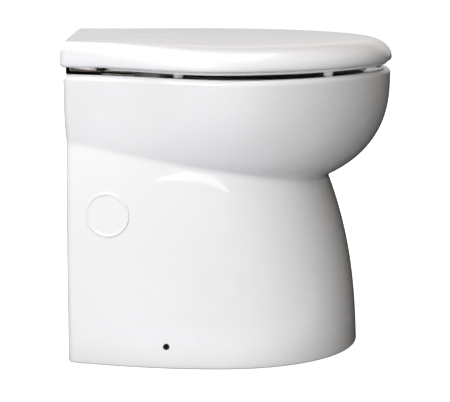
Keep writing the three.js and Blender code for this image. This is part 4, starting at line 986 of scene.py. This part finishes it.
def build_camera():
    data = bpy.data.cameras.new("camera")
    data.sensor_width = CAMERA_SENSOR
    data.lens = CAMERA_LENS
    data.clip_end = CAMERA_END
    camera = bpy.data.objects.new("camera", data)
    bpy.context.scene.collection.objects.link(camera)
    camera.location = CAMERA_PLACE
    camera.rotation_euler = (math.pi / 2 - CAMERA_PITCH, 0, 0)
    bpy.context.scene.camera = camera


def softbox(name, place, target, width, height, power, color):
    data = bpy.data.lights.new(name, "AREA")
    data.shape = "RECTANGLE"
    data.size = width
    data.size_y = height
    data.energy = power
    data.color = color
    light = bpy.data.objects.new(name, data)
    bpy.context.scene.collection.objects.link(light)
    light.location = place
    light.rotation_euler = (Vector(target) - Vector(place)).to_track_quat("-Z", "Y").to_euler()
    return light


def build_floor():
    """A white floor, which takes soft shadows, and pale walls far behind it that only the camera sees."""
    material, _, surface = shader("pale_floor", FLOOR_COLOR, FLOOR_ROUGHNESS)
    surface.inputs["Emission Color"].default_value = (1, 1, 1, 1)
    surface.inputs["Emission Strength"].default_value = FLOOR_GLOW
    mesh = bpy.data.meshes.new("floor")
    signs = ((-1, -1), (1, -1), (1, 1), (-1, 1))
    corners = [(FLOOR_REACH * x, FLOOR_REACH * y, FLOOR_LOW) for x, y in signs]
    tops = [(FLOOR_REACH * x, FLOOR_REACH * y, WALL_HEIGHT) for x, y in signs]
    mesh.from_pydata(corners, [], [(0, 1, 2, 3)])
    floor = link("floor", mesh)
    floor.data.materials.append(material)
    mesh = bpy.data.meshes.new("walls")
    mesh.from_pydata(corners + tops, [], [(0, 1, 5, 4), (1, 2, 6, 5), (2, 3, 7, 6), (3, 0, 4, 7)])
    walls = link("walls", mesh)
    walls.data.materials.append(material)
    walls.visible_shadow = False
    for backdrop in (floor, walls):
        backdrop.visible_diffuse = False
        backdrop.visible_glossy = False


def ranged(tree, value, low, high, first, last):
    """A value mapped from the range low to high onto the range first to last, and kept in it."""
    reach = add_node(tree, "ShaderNodeMapRange")
    for name, number in (("From Min", low), ("From Max", high), ("To Min", first), ("To Max", last)):
        reach.inputs[name].default_value = number
    tree.links.new(value, reach.inputs["Value"])
    return reach.outputs["Result"]


def build_world():
    """A dim room that is dark below the table and darker on the right."""
    world = bpy.data.worlds.new("studio")
    bpy.context.scene.world = world
    world.use_nodes = True
    tree = world.node_tree
    surface = tree.nodes["Background"]
    surface.inputs["Color"].default_value = (*ROOM_COLOR, 1)
    coords = tree.nodes.new("ShaderNodeTexCoord")
    split = tree.nodes.new("ShaderNodeSeparateXYZ")
    tree.links.new(coords.outputs["Generated"], split.inputs["Vector"])
    strength = tree.nodes.new("ShaderNodeMath")
    strength.operation = "MULTIPLY"
    tree.links.new(ranged(tree, split.outputs["Z"], *ROOM_RISE, 0, ROOM_LIGHT), strength.inputs[0])
    tree.links.new(ranged(tree, split.outputs["X"], *ROOM_SIDES, 1, ROOM_RIGHT), strength.inputs[1])
    tree.links.new(strength.outputs["Value"], surface.inputs["Strength"])


# Lights: name, place, width, height, power and turn. Each one faces the middle of the toilet, or up where
# it lies on the table. Nothing reflects the one named front, and the turned one is an ellipse.
LIGHTS = [
    ("front_left", (-1.4, -2.15, 1.85), 1.5, 1.2, 46, 0),
    ("front", (-0.3, -2.65, 0.43), 3.0, 0.2, 37, 0),
    ("strip", (-0.36, -2.6, 0.505), 1.65, 0.085, 1.1, -5),
    ("top", (-0.2, 0.0, 2.3), 1.6, 1.6, 16, 0),
    ("back", (0.0, 3.0, 1.2), 6.0, 1.8, 19, 0),
    ("back_left", (-2.2, 1.6, 1.2), 1.2, 1.2, 30, 0),
    ("table", (-0.14, -0.295, 0.002), 2.4, 0.21, 0.64, 0),
    ("table_near", (-0.22, -0.225, 0.002), 0.6, 0.06, 0.06, 0),
    ("table_right", (0.33, -0.2, 0.002), 0.24, 0.3, 0.03, 0),
]


def build_lights():
    for name, place, width, height, power, turn in LIGHTS:
        target = (place[0], place[1], 1) if place[2] < TABLE_LEVEL else LIGHT_TARGET
        light = softbox(name, place, target, width, height, power, LIGHT_COLOR)
        if turn:
            light.data.shape = "ELLIPSE"
            light.rotation_euler.rotate_axis("Z", math.radians(turn))
        light.visible_glossy = name != "front"


bpy.context.scene.view_settings.view_transform = "Standard"
build_camera()
build_floor()
build_world()
build_lights()
build_china(MATERIALS["ceramic"])
build_medallion(-1, MATERIALS["ceramic"])
build_medallion(1, MATERIALS["ceramic"])
# Black plugs in the fixing holes, as painted shade.
build_shade_plug(-1, MATERIALS["black_rubber"])
build_shade_plug(1, MATERIALS["black_rubber"])
build_seat(MATERIALS["seat_plastic"])
build_lid(MATERIALS["seat_plastic"])
for buffer in BUFFERS:
    build_buffer(buffer, buffer.split("_")[0])
dress_cad()
